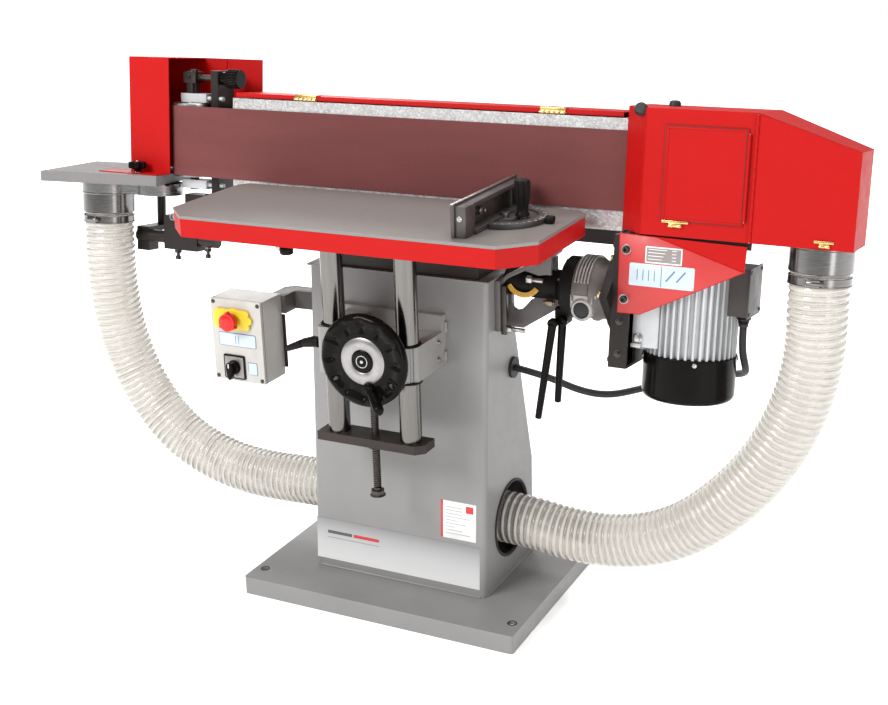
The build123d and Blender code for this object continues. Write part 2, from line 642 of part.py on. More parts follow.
def access_door():
    panel = block((539, 689), (HOOD_FRONT - 2.5, HOOD_FRONT - 0.5), (-3, 166))
    rim = block((546.5, 681.5), (HOOD_FRONT - 0.5, HOOD_FRONT + 5), (3.5, 159.5))
    rim -= block((548, 680), (HOOD_FRONT - 0.4, HOOD_FRONT + 6), (5, 158))
    barrel = pipe("Z", (ACCESS_HINGE_X, HOOD_FRONT - 3.3), 3, 0.85, (5, 158))
    barrel -= rod("Z", (ACCESS_HINGE_X, HOOD_FRONT - 3.3), 0.85, (4, 159))
    return panel + rim + barrel


def belt_cover():
    """Red sheet guard below the hood, in front of the motor."""
    outline = [(459, -34), (698, -40), (696, -87), (507, -183), (462, -184)]
    body = prism(outline, "Y", (-48, -46)) + block((490, 690), (-46, -42), (-42, -40))
    for z in (-64, -157):
        body -= rod("Y", (474, z), 4.2, (-49, -45))
    return body


HEAD["rear_cover"] = rear_cover() + cover_hinges()
HEAD["hood_shell"] = hood_shell() + pipe("Z", (820, 0), HOSE_R, 48, (-76, HOOD_LOW))
HEAD["hood_door"] = hood_door()
HEAD["access_door"] = access_door()
HEAD["hinge_pins"] = solids(
    rod("Z", (HINGE_X, HOOD_FRONT - 3), 1, (HOOD_LOW, 193)),
    rod("Z", (ACCESS_HINGE_X, HOOD_FRONT - 3.3), 0.8, (3, 160)),
    *[rod("X", (COVER_HINGE_Y, COVER_HINGE_Z), 1, (x - 28, x + 28)) for x in COVER_HINGES],
)
HEAD["belt_cover"] = belt_cover()

# ---- head: drive ----------------------------------------------------------------------------------------
MOTOR = (DRUM_RIGHT, DRUM_Y)
BODY_LOW, BODY_HIGH = -262, -60
GLAND_X, GLAND_LOW = 678, -202


def motor_body():
    points = []
    fins = 40
    for step in range(fins):
        for turn, radius in ((0.0, MOTOR_R), (0.3, MOTOR_R), (0.42, MOTOR_R - 10), (0.88, MOTOR_R - 10)):
            angle = 2 * math.pi * (step + turn) / fins
            points.append((MOTOR[0] + radius * math.cos(angle), MOTOR[1] + radius * math.sin(angle)))
    body = prism(points, "Z", (BODY_LOW, BODY_HIGH))
    body -= rod("Z", MOTOR, 52, (BODY_LOW + 22, BODY_HIGH - 22))
    return body - rod("Z", MOTOR, 12 + RUNNING, (BODY_LOW - 1, BODY_HIGH + 1))


def motor_feet():
    body = None
    for low in (-236, -116):
        foot = block((485, 520), (8, 88), (low - 24, low))
        body = foot if body is None else body + foot
    return body - rod("Z", MOTOR, MOTOR_R - 10, (-300, 0))


def mount_plate():
    body = block((449, 485), (-46, 92), (-290, -38))
    body -= block((455, 486), (-40, 86), (-284, -37))
    return body + block((479, 485), (6, 90), (-284, -100))


def fan_cover():
    body = rod("Z", MOTOR, 88, (-350, BODY_LOW))
    body = fillet(body.edges().sort_by(Axis.Z)[0], 14)
    body -= rod("Z", MOTOR, 86, (-334, BODY_LOW + 1))
    for ring in (30, 44, 58):
        for step in range(ring // 4):
            angle = 2 * math.pi * step / (ring // 4)
            body -= rod("Z", (MOTOR[0] + ring * math.cos(angle), MOTOR[1] + ring * math.sin(angle)), 3.5, (-351, -330))
    return body


def drive_fan():
    body = pipe("Z", MOTOR, 22, 12, (-322, -288))
    for step in range(8):
        blade = Rot(0, 0, 45 * step) * block((20, 74), (-1.5, 1.5), (-320, -290))
        body += Pos(MOTOR[0], MOTOR[1], 0) * blade
    return body


def terminal_box():
    """Hollow box on the motor's side with the cable gland under it."""
    low, high = -178, -90
    box = block((650, 692), (8, 94), (low, high)) - block((653, 689), (11, 91), (low + 3, high - 3))
    box -= rod("Z", MOTOR, MOTOR_R + 0.02, (-300, 0))
    gland = rod("Z", (GLAND_X, DRUM_Y), 11, (low - 12, low)) + rod("Z", (GLAND_X, DRUM_Y), 9, (GLAND_LOW, low - 12))
    return box + gland


HEAD["mount_plate"] = mount_plate()
HEAD["motor_body"] = motor_body() + motor_feet() + pipe("Z", MOTOR, 88, 24, (BODY_HIGH, HOOD_LOW))
HEAD["fan_cover"] = fan_cover()
HEAD["motor_rotor"] = (
    rod("Z", MOTOR, 12, (-326, 152)) + rod("Z", MOTOR, 51.5, (BODY_LOW + 30, BODY_HIGH - 30)) + drive_fan()
)
HEAD["drive_drum"] = pipe("Z", MOTOR, DRUM_R, 12, (-2, 152))
HEAD["terminal_box"] = terminal_box()

# ---- output shaft of the tilt gearbox, built straight on the pivot axis ----------------------------------
LEANING = {
    "output_shaft": rod("X", (PIVOT_Y, PIVOT_Z), 20, (GEARBOX_X[0] + 8.3, 446))
    + rod("X", (PIVOT_Y, PIVOT_Z), 12, (COLLAR_X[0] + 8, GEARBOX_X[0] + 9))
    + rod("X", (PIVOT_Y, PIVOT_Z), 23, (WORM_X - 9, WORM_X + 9)),
}
flange_box = Pos(441, PIVOT_Y, PIVOT_Z) * Rot(45, 0, 0) * Box(16, 120, 120)
LEANING["output_flange"] = flange_box - rod("X", (PIVOT_Y, PIVOT_Z), 20, (430, 446))


# ---- hoses and motor cable, which cross from the head to the pedestal ------------------------------------
def routed(points, radius):
    """A round tube along straight runs joined by the largest tangent arcs they allow."""
    ends = [Vector(*p) for p in points]
    radii = []
    for before, corner, after in zip(ends, ends[1:], ends[2:]):
        into, out = corner - before, after - corner
        turn = math.radians(into.get_angle(out))
        radii.append(0.45 * min(into.length, out.length) / math.tan(turn / 2))
    path = FilletPolyline(*ends, radius=radii)
    start = Plane(origin=ends[0], z_dir=ends[1] - ends[0])
    tube = sweep(start * Circle(radius), path=path)
    want = math.pi * radius ** 2 * path.length
    print("route", round(path.length), "mm, tightest", round(min(radii)), "volume ratio", round(tube.volume / want, 4))
    return tube


def leaning_point(point):
    """A point of the head's own frame, with the head leaning at rest."""
    y, z = point[1] + BELT_Y - PIVOT_Y, point[2] + BELT_Z - PIVOT_Z
    turn = math.radians(LEAN)
    return (
        point[0],
        PIVOT_Y + y * math.cos(turn) + z * math.sin(turn),
        PIVOT_Z - y * math.sin(turn) + z * math.cos(turn),
    )


LEFT_START = leaning_point((PORT_X, PORT_Y, -92))
RIGHT_START = leaning_point((820, 0, -76))
CABLE_START = leaning_point((GLAND_X, DRUM_Y, GLAND_LOW))
LEFT_ROUTE = [
    LEFT_START,
    leaning_point((PORT_X, PORT_Y, -150)),
    (-776, -28, 600),
    (-774, -20, 490),
    (-748, -12, 384),
    (-696, -6, 290),
    (-624, 0, 218),
    (-530, 4, 176),
    (-425, 7, 160),
    (-320, 8, 164),
    (-235, 8, 167),
    (-DUCT_HALF, 8, 167),
]
RIGHT_ROUTE = [
    RIGHT_START,
    leaning_point((820, 0, -134)),
    (819, -14, 620),
    (796, -6, 505),
    (744, 0, 388),
    (666, 4, 284),
    (566, 7, 198),
    (450, 8, 156),
    (340, 8, 152),
    (240, 8, 167),
    (DUCT_HALF, 8, 167),
]
CABLE_ROUTE = [
    CABLE_START,
    leaning_point((GLAND_X, DRUM_Y, -245)),
    (681, 32, 560),
    (670, 80, 530),
    (636, 124, 508),
    (575, 148, 490),
    (510, 138, 474),
    (450, 95, 460),
    (400, 52, 454),
    (345, 32, 464),
    (280, 25, 488),
    (COLUMN_HALF + 6, 24, 498),
]
STAND["left_hose"] = routed(LEFT_ROUTE, HOSE_R)
STAND["right_hose"] = routed(RIGHT_ROUTE, HOSE_R)
STAND["motor_cable"] = routed(CABLE_ROUTE, 7)

# ---- export ---------------------------------------------------------------------------------------------
os.makedirs("parts", exist_ok=True)
for name, shape in LIFT.items():
    STAND[name] = Pos(LIFT_X, 0, 0) * shape
for name, shape in HEAD.items():
    STAND[name] = head_at_rest(shape)
tilt = Pos(0, PIVOT_Y, PIVOT_Z) * Rot(-LEAN, 0, 0) * Pos(0, -PIVOT_Y, -PIVOT_Z)
for name, shape in LEANING.items():
    STAND[name] = tilt * shape
for name, shape in STAND.items():
    export_step(shape, f"parts/{name}.step")
print(len(STAND), "nodes")
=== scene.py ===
import math

import bmesh
import bpy
from mathutils import Matrix, Vector


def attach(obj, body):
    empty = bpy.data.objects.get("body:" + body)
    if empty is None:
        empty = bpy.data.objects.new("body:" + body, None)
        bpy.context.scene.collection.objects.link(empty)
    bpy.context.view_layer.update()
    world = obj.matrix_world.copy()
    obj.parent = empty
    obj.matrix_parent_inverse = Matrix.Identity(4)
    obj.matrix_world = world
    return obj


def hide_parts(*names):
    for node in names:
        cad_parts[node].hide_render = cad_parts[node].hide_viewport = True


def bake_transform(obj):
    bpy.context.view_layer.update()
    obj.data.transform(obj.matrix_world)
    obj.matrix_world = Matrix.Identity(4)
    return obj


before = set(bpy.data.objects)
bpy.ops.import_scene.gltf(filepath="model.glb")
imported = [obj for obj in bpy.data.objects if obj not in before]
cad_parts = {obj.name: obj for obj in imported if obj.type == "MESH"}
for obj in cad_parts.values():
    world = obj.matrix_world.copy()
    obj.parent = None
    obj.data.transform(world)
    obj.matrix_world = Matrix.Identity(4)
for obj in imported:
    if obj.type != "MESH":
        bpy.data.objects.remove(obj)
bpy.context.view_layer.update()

# ---- places, in millimetres ------------------------------------------------------------------------------
# ROW takes millimetres of the row frame to metres. HEAD does the same for the head's own frame, in which the
# belt's front run is the plane y = 0 and its lower edge is z = 0, with the head leaning back as it rests.
PIVOT = Vector((0, -15, 696))
LEAN = math.radians(7.0)
BELT_ORIGIN = Vector((0, -27.3, 850.3))
ROW = Matrix.Scale(0.001, 4)
HEAD = (
    ROW
    @ Matrix.Translation(PIVOT)
    @ Matrix.Rotation(-LEAN, 4, "X")
    @ Matrix.Translation(BELT_ORIGIN - PIVOT)
)
# The table and its lift stand 6 mm to the right of where they are drawn.
LIFT = ROW @ Matrix.Translation((6, 0, 0))
HEAD_BODIES = {"head", "idler", "carriage", "tracking_knob", "rear_cover", "hood_door", "access_door"}

TURN_TO = {
    "X": Matrix.Rotation(math.radians(90), 4, "Y"),
    "Y": Matrix.Rotation(math.radians(-90), 4, "X"),
    "Z": Matrix.Identity(4),
}


# ---- mesh helpers ----------------------------------------------------------------------------------------
def combine(*parts):
    """Several bmeshes as one."""
    whole = bmesh.new()
    for part in parts:
        mesh = bpy.data.meshes.new("part")
        part.to_mesh(mesh)
        part.free()
        whole.from_mesh(mesh)
        bpy.data.meshes.remove(mesh)
    return whole


def soften(part, width, steps=2):
    """Rounds the sharp edges of a part."""
    if width <= 0:
        return part
    sharp = [e for e in part.edges if len(e.link_faces) == 2 and e.calc_face_angle() > math.radians(28)]
    bmesh.ops.bevel(part, geom=sharp, offset=width, segments=steps, profile=0.6, affect="EDGES",
                    clamp_overlap=True)
    return part


def block(x, y, z, bevel=0.8):
    part = bmesh.new()
    bmesh.ops.create_cube(part, size=1.0)
    size = Matrix.Diagonal((x[1] - x[0], y[1] - y[0], z[1] - z[0], 1))
    middle = Vector((x[0] + x[1], y[0] + y[1], z[0] + z[1])) / 2
    bmesh.ops.transform(part, matrix=Matrix.Translation(middle) @ size, verts=part.verts)
    return soften(part, bevel)


def prism(points, axis, span, bevel=0.6):
    """A polygon across an axis, pushed along it. Points are the other two coordinates, in X, Y, Z order."""
    part = bmesh.new()
    place = {"X": lambda a, b, c: (c, a, b), "Y": lambda a, b, c: (a, c, b), "Z": lambda a, b, c: (a, b, c),
             }[axis]
    low = [part.verts.new(place(a, b, span[0])) for a, b in points]
    high = [part.verts.new(place(a, b, span[1])) for a, b in points]
    part.faces.new(low)
    part.faces.new(list(reversed(high)))
    count = len(points)
    for i in range(count):
        j = (i + 1) % count
        part.faces.new((low[i], high[i], high[j], low[j]))
    bmesh.ops.recalc_face_normals(part, faces=part.faces)
    return soften(part, bevel)


def lathe(profile, axis, at, sides=56, closed=True):
    """A profile of (radius, height) points turned about an axis through at."""
    part = bmesh.new()
    rings = []
    for radius, height in profile:
        if radius < 1e-6:
            rings.append([part.verts.new((0, 0, height))])
            continue
        ring = []
        for i in range(sides):
            turn = 2 * math.pi * i / sides
            ring.append(part.verts.new((radius * math.cos(turn), radius * math.sin(turn), height)))
        rings.append(ring)
    pairs = list(zip(rings, rings[1:]))
    if closed:
        pairs.append((rings[-1], rings[0]))
    for lower, upper in pairs:
        for i in range(sides):
            j = (i + 1) % sides
            corners = [lower[i % len(lower)], lower[j % len(lower)], upper[j % len(upper)],
                       upper[i % len(upper)]]
            face = []
            for corner in corners:
                if corner not in face:
                    face.append(corner)
            if len(face) > 2:
                part.faces.new(face)
    bmesh.ops.recalc_face_normals(part, faces=part.faces)
    bmesh.ops.transform(part, matrix=Matrix.Translation(at) @ TURN_TO[axis], verts=part.verts)
    return part


def rod(axis, at, radius, span, bevel=0.8, sides=40):
    """A cylinder with rounded rims. span is along the axis, measured from at."""
    low, high = span
    edge = min(bevel, radius * 0.4, (high - low) * 0.4)
    profile = [(0, low), (radius - edge, low), (radius - edge * 0.3, low + edge * 0.3),
               (radius, low + edge), (radius, high - edge), (radius - edge * 0.3, high - edge * 0.3),
               (radius - edge, high), (0, high)]
    return lathe(profile, axis, at, sides, closed=False)


def ring(axis, at, outer, inner, span, sides=56, bevel=0.6):
    low, high = span
    edge = min(bevel, (outer - inner) * 0.3, (high - low) * 0.3)
    profile = [(inner, low + edge), (inner + edge, low), (outer - edge, low), (outer, low + edge),
               (outer, high - edge), (outer - edge, high), (inner + edge, high), (inner, high - edge)]
    return lathe(profile, axis, at, sides)


def torus(axis, at, major, minor, sides=72, around=14):
    profile = []
    for i in range(around):
        turn = 2 * math.pi * i / around
        profile.append((major + minor * math.cos(turn), minor * math.sin(turn)))
    return lathe(profile, axis, at, sides)


def hexagon(axis, at, across, span, bevel=0.8):
    """A hexagonal bolt head or nut."""
    radius = across / math.sqrt(3)
    points = [(radius * math.cos(turn), radius * math.sin(turn)) for turn in turns(6)]
    part = prism(points, "Z", span, bevel)
    bmesh.ops.transform(part, matrix=Matrix.Translation(at) @ TURN_TO[axis], verts=part.verts)
    return part


def hex_bolt(axis, at, across, way=-1):
    """A washer and a bolt head standing on a face at `at`, pointing along way times the axis."""
    seat, top = way * across * 0.14, way * across * 0.72
    return combine(rod(axis, at, across * 0.78, sorted((0, seat)), 0.3, 28),
                   hexagon(axis, at, across, sorted((seat, top))))


def cap_screw(axis, at, radius, way=-1):
    """A socket head screw: a rim round a sunken middle."""
    top = way * radius * 1.1
    profile = [(0, top * 0.35), (radius * 0.42, top * 0.35), (radius * 0.48, top), (radius * 0.92, top),
               (radius, top * 0.88), (radius, 0), (0, 0)]
    return lathe(profile, axis, at, 30, closed=False)


def pan_screw(axis, at, radius, way=-1):
    """A domed screw head, too small for its slot to show."""
    top = way * radius * 0.5
    profile = [(0, top), (radius * 0.55, top * 0.94), (radius * 0.9, top * 0.6), (radius, 0), (0, 0)]
    return lathe(profile, axis, at, 28, closed=False)


def turns(count, first=0.0):
    """Evenly spaced angles round a circle, from a first one in degrees."""
    return [math.radians(first + 360 / count * k) for k in range(count)]


def arc(centre, radius, start, end, steps):
    """Points on an arc, angles in degrees."""
    sweep = [math.radians(start + (end - start) * i / steps) for i in range(steps + 1)]
    return [(centre[0] + radius * math.cos(a), centre[1] + radius * math.sin(a)) for a in sweep]


def sector(centre, inner, outer, start, end, steps):
    return arc(centre, outer, start, end, steps) + arc(centre, inner, end, start, steps)


def rounded_plate(x, z, radius):
    points = []
    for cx, cz, start in ((x[1] - radius, z[1] - radius, 0), (x[0] + radius, z[1] - radius, 90),
                          (x[0] + radius, z[0] + radius, 180), (x[1] - radius, z[0] + radius, 270)):
        points += arc((cx, cz), radius, start, start + 90, 5)
    return points


def bar(x, z):
    """The corners of an upright rectangle."""
    return [(x[0], z[0]), (x[1], z[0]), (x[1], z[1]), (x[0], z[1])]


def spoke(axis, radius, turn, along=0):
    """A step away from an axis at an angle round it, and along it."""
    a, b = radius * math.cos(turn), radius * math.sin(turn)
    return Vector({"X": (along, a, b), "Y": (a, along, b), "Z": (a, b, along)}[axis])


def between(start, end, radius, end_radius=None, sides=24, bevel=1.5):
    """A rounded rod or taper from one point to another."""
    start, end = Vector(start), Vector(end)
    length = (end - start).length
    tip = radius if end_radius is None else end_radius
    profile = [(0, 0), (radius - bevel, 0), (radius, bevel)]
    profile += [(tip, length - bevel), (tip - bevel * 0.35, length - bevel * 0.35), (tip - bevel, length),
                (0, length)]
    part = lathe(profile, "Z", Vector(), sides, closed=False)
    turn = Vector((0, 0, 1)).rotation_difference((end - start).normalized()).to_matrix().to_4x4()
    bmesh.ops.transform(part, matrix=Matrix.Translation(start) @ turn, verts=part.verts)
    return part


def as_object(name, part, *materials):
    """Makes a smooth shaded object of a bmesh."""
    mesh = bpy.data.meshes.new(name)
    part.to_mesh(mesh)
    part.free()
    for material in materials:
        mesh.materials.append(material)
    mesh.polygons.foreach_set("use_smooth", [True] * len(mesh.polygons))
    return in_scene(name, mesh)


def in_scene(name, data):
    thing = bpy.data.objects.new(name, data)
    bpy.context.scene.collection.objects.link(thing)
    return thing


def piece(name, part, look, body, place=None, smooth=38):
    """Makes the object of a part or a list of parts, in metres, riding on a body.

    Pieces of the head's own bodies are drawn in the head's frame, unless another place is given.
    """
    if isinstance(part, list):
        part = combine(*part)
    if place is None:
        place = HEAD if body in HEAD_BODIES else ROW
    bmesh.ops.transform(part, matrix=place, verts=part.verts)
    thing = as_object(name, part, M[look])
    thing.data.set_sharp_from_angle(angle=math.radians(smooth))
    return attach(thing, body)


# ---- materials -------------------------------------------------------------------------------------------
def put(made, **values):
    """Sets a node's properties and inputs. An underscore stands for the space in an input's name."""
    for key, value in values.items():
        if hasattr(made, key):
            setattr(made, key, value)
        else:
            made.inputs[key.replace("_", " ")].default_value = value
    return made


def node(tree, kind, **values):
    return put(tree.nodes.new("ShaderNode" + kind), **values)


def join(tree, source, target, socket):
    """Links an output, or a node's first output, to an input."""
    tree.links.new(getattr(source, "outputs", [source])[0], target.inputs[socket])


class Look:
    """A material in the making. Its textures lie in the object's own coordinates."""

    def __init__(self, name):
        self.material = bpy.data.materials.new(name)
        self.material.use_nodes = True
        self.tree = self.material.node_tree
        self.bsdf = self.tree.nodes["Principled BSDF"]
        self.where = self.add("TexCoord").outputs["Object"]

    def add(self, kind, **values):
        return node(self.tree, kind, **values)

    def join(self, source, target, socket):
        join(self.tree, source, target, socket)

    def texture(self, kind="TexNoise", stretch=None, **values):
        made = self.add(kind, **values)
        source = self.where
        if stretch:
            source = self.add("Mapping", Scale=stretch)
            self.join(self.where, source, "Vector")
        self.join(source, made, "Vector")
        return made

    def maths(self, operation, *values):
        made = self.add("Math", operation=operation)
        for place, value in enumerate(values):
            if isinstance(value, float):
                made.inputs[place].default_value = value
            else:
                self.join(value, made, place)
        return made

    def ramp(self, source, stops):
        """Colours along a value, from (place, colour) stops."""
        made = self.add("ValToRGB")
        elements = made.color_ramp.elements
        while len(elements) < len(stops):
            elements.new(0.5)
        for element, (place, color) in zip(elements, stops):
            element.position = place
            element.color = (*color, 1)
        self.join(source, made, "Fac")
        return made

    def tint(self, source, stops):
        self.join(self.ramp(source, stops), self.bsdf, "Base Color")

    def gloss(self, source, low, high, **limits):
        """Roughness between two values, following a texture."""
        span = self.add("MapRange", To_Min=low, To_Max=high, **limits)
        self.join(source, span, "Value")
        self.join(span, self.bsdf, "Roughness")

    def close(self, rounding, *bumps, **values):
        """Chains bumps, as (source, strength, distance), over softly rounded edges and sets the rest."""
        below = self.add("Bevel", samples=4, Radius=rounding) if rounding else None
        for source, strength, distance in bumps:
            bump = self.add("Bump", Strength=strength, Distance=distance)
            self.join(source, bump, "Height")
            if below:
                self.join(below, bump, "Normal")
            below = bump
        self.join(below, self.bsdf, "Normal")
        put(self.bsdf, **values)
        return self.material


def scaled(color, factor):
    return tuple(min(1, c * factor) for c in color)


def painted(name, color, shade, roughness, metallic=0.0, peel=(500, 0.06), tone=5.0, coat=0.0,
            rounding=0.0012):
    """Sheet or cast metal under paint: slow tone changes, fine orange peel, scuffed gloss."""
    look = Look(name)
    slow = look.texture(Scale=tone, Detail=4.0, Roughness=0.6)
    fine = look.texture(Scale=peel[0], Detail=2.0)
    scuff = look.texture(Scale=38.0, Detail=6.0, Roughness=0.7)
    look.tint(slow, [(0.25, shade), (0.75, color)])
    look.gloss(scuff, max(0.02, roughness - 0.06), min(1.0, roughness + 0.08), From_Min=0.3, From_Max=0.7)
    return look.close(rounding, (fine, peel[1], 0.0004), Metallic=metallic, Coat_Weight=coat,
                      Coat_Roughness=0.12)


def galvanised(name):
    """Zinc spangle: flat crystals of slightly different grey and gloss."""
    look = Look(name)
    crystal = look.texture("TexVoronoi", Scale=330.0)
    grain = look.texture(Scale=900.0, Detail=3.0)
    split = look.add("SeparateColor")
    look.join(crystal.outputs["Color"], split, "Color")
    red, green, blue = split.outputs
    look.tint(red, [(0.0, (0.38, 0.375, 0.37)), (0.55, (0.47, 0.465, 0.46)), (1.0, (0.59, 0.585, 0.58))])
    look.gloss(green, 0.28, 0.55)
    return look.close(0.0008, (blue, 0.25, 0.0002), (grain, 0.08, 0.0002), Metallic=0.75)


def bright_metal(name, color, roughness, stretch=(1, 1, 1)):
    """Turned or drawn metal with fine lines along or round it."""
    look = Look(name)
    lines = look.texture(stretch=stretch, Scale=40.0, Detail=5.0, Roughness=0.65)
    look.tint(lines, [(0.3, scaled(color, 0.72)), (0.7, color)])
    look.gloss(lines, roughness * 0.7, roughness * 1.4)
    return look.close(0.0006, (lines, 0.06, 0.0002), Metallic=1.0)


def abrasive(name):
    """Brown abrasive cloth: packed grit with lighter and darker grains and faint streaks along the belt."""
    look = Look(name)
    grit = look.texture(Scale=1500.0, Detail=3.0, Roughness=0.8)
    grains = look.texture("TexVoronoi", Scale=1100.0)
    streak = look.texture(stretch=(0.8, 3, 5), Scale=5.0, Detail=3.0)
    mixed = look.maths("MULTIPLY_ADD", streak, 0.15, look.maths("MULTIPLY", grit, 0.85))
    look.tint(mixed, [(0.34, (0.086, 0.018, 0.0175)), (0.52, (0.138, 0.031, 0.030)),
                      (0.7, (0.198, 0.055, 0.052))])
    return look.close(0.0004, (grains, 0.35, 0.0003), (grit, 0.25, 0.0003), Roughness=0.82)


def casting(name, color, roughness=0.55):
    """Sand cast surface under thin paint."""
    look = Look(name)
    sand = look.texture(Scale=420.0, Detail=4.0, Roughness=0.7)
    slow = look.texture(Scale=30.0, Detail=5.0)
    look.tint(slow, [(0.3, scaled(color, 0.7)), (0.7, scaled(color, 1.2))])
    return look.close(0.0014, (sand, 0.3, 0.0006), Roughness=roughness, Metallic=0.25)


def plastic(name, color, roughness=0.25, texture=0.03, rounding=0.0008, coat=0.0):
    """Moulded plastic: even colour with a faint skin texture and handled patches."""
    return painted(name, color, scaled(color, 0.82), roughness, 0.0, (900, texture), 22.0, coat, rounding)


def table_steel(name):
    """Ground table top, grey-brown, with bright edges where the plate is cut."""
    look = Look(name)
    lines = look.texture(stretch=(2, 40, 4), Scale=30.0, Detail=5.0, Roughness=0.7)
    spots = look.texture(Scale=700.0, Detail=3.0)
    top = look.ramp(lines, [(0.3, (0.175, 0.160, 0.150)), (0.7, (0.225, 0.208, 0.197))])
    split = look.add("SeparateXYZ")
    look.join(look.add("NewGeometry").outputs["Normal"], split, "Vector")
    blend = look.add("Mix", data_type="RGBA")
    look.join(look.maths("GREATER_THAN", split.outputs["Z"], 0.5), blend, "Factor")
    blend.inputs[6].default_value = (0.21, 0.205, 0.20, 1)
    look.join(top, blend, 7)
    look.join(blend.outputs[2], look.bsdf, "Base Color")
    return look.close(0.0005, (lines, 0.05, 0.0002), (spots, 0.12, 0.0002), Roughness=0.42, Metallic=0.35)


def clear_vinyl(name, color, roughness, transmission):
    """Hose film or wire: milky, partly see-through vinyl with faint clouding."""
    look = Look(name)
    cloud = look.texture(Scale=60.0, Detail=4.0)
    look.tint(cloud, [(0.3, scaled(color, 0.86)), (0.7, color)])
    return look.close(None, (cloud, 0.15, 0.0004), Roughness=roughness, Transmission_Weight=transmission,
                      IOR=1.2, Coat_Weight=0.7, Coat_Roughness=0.1)


def fading_label(name, low, high, foot, top):
    """A printed panel that fades from one grey at its foot to another at its top."""
    look = Look(name)
    split = look.add("SeparateXYZ")
    look.join(look.where, split, "Vector")
    height = look.add("MapRange", From_Min=low, From_Max=high)
    look.join(split.outputs["Z"], height, "Value")
    look.tint(height, [(0.0, foot), (1.0, top)])
    return look.close(0.0003, (look.texture(Scale=300.0, Detail=3.0), 0.03, 0.0002), Roughness=0.35)


def label(name, color, roughness=0.35, rounding=0.0003):
    return plastic(name, color, roughness, 0.02, rounding)


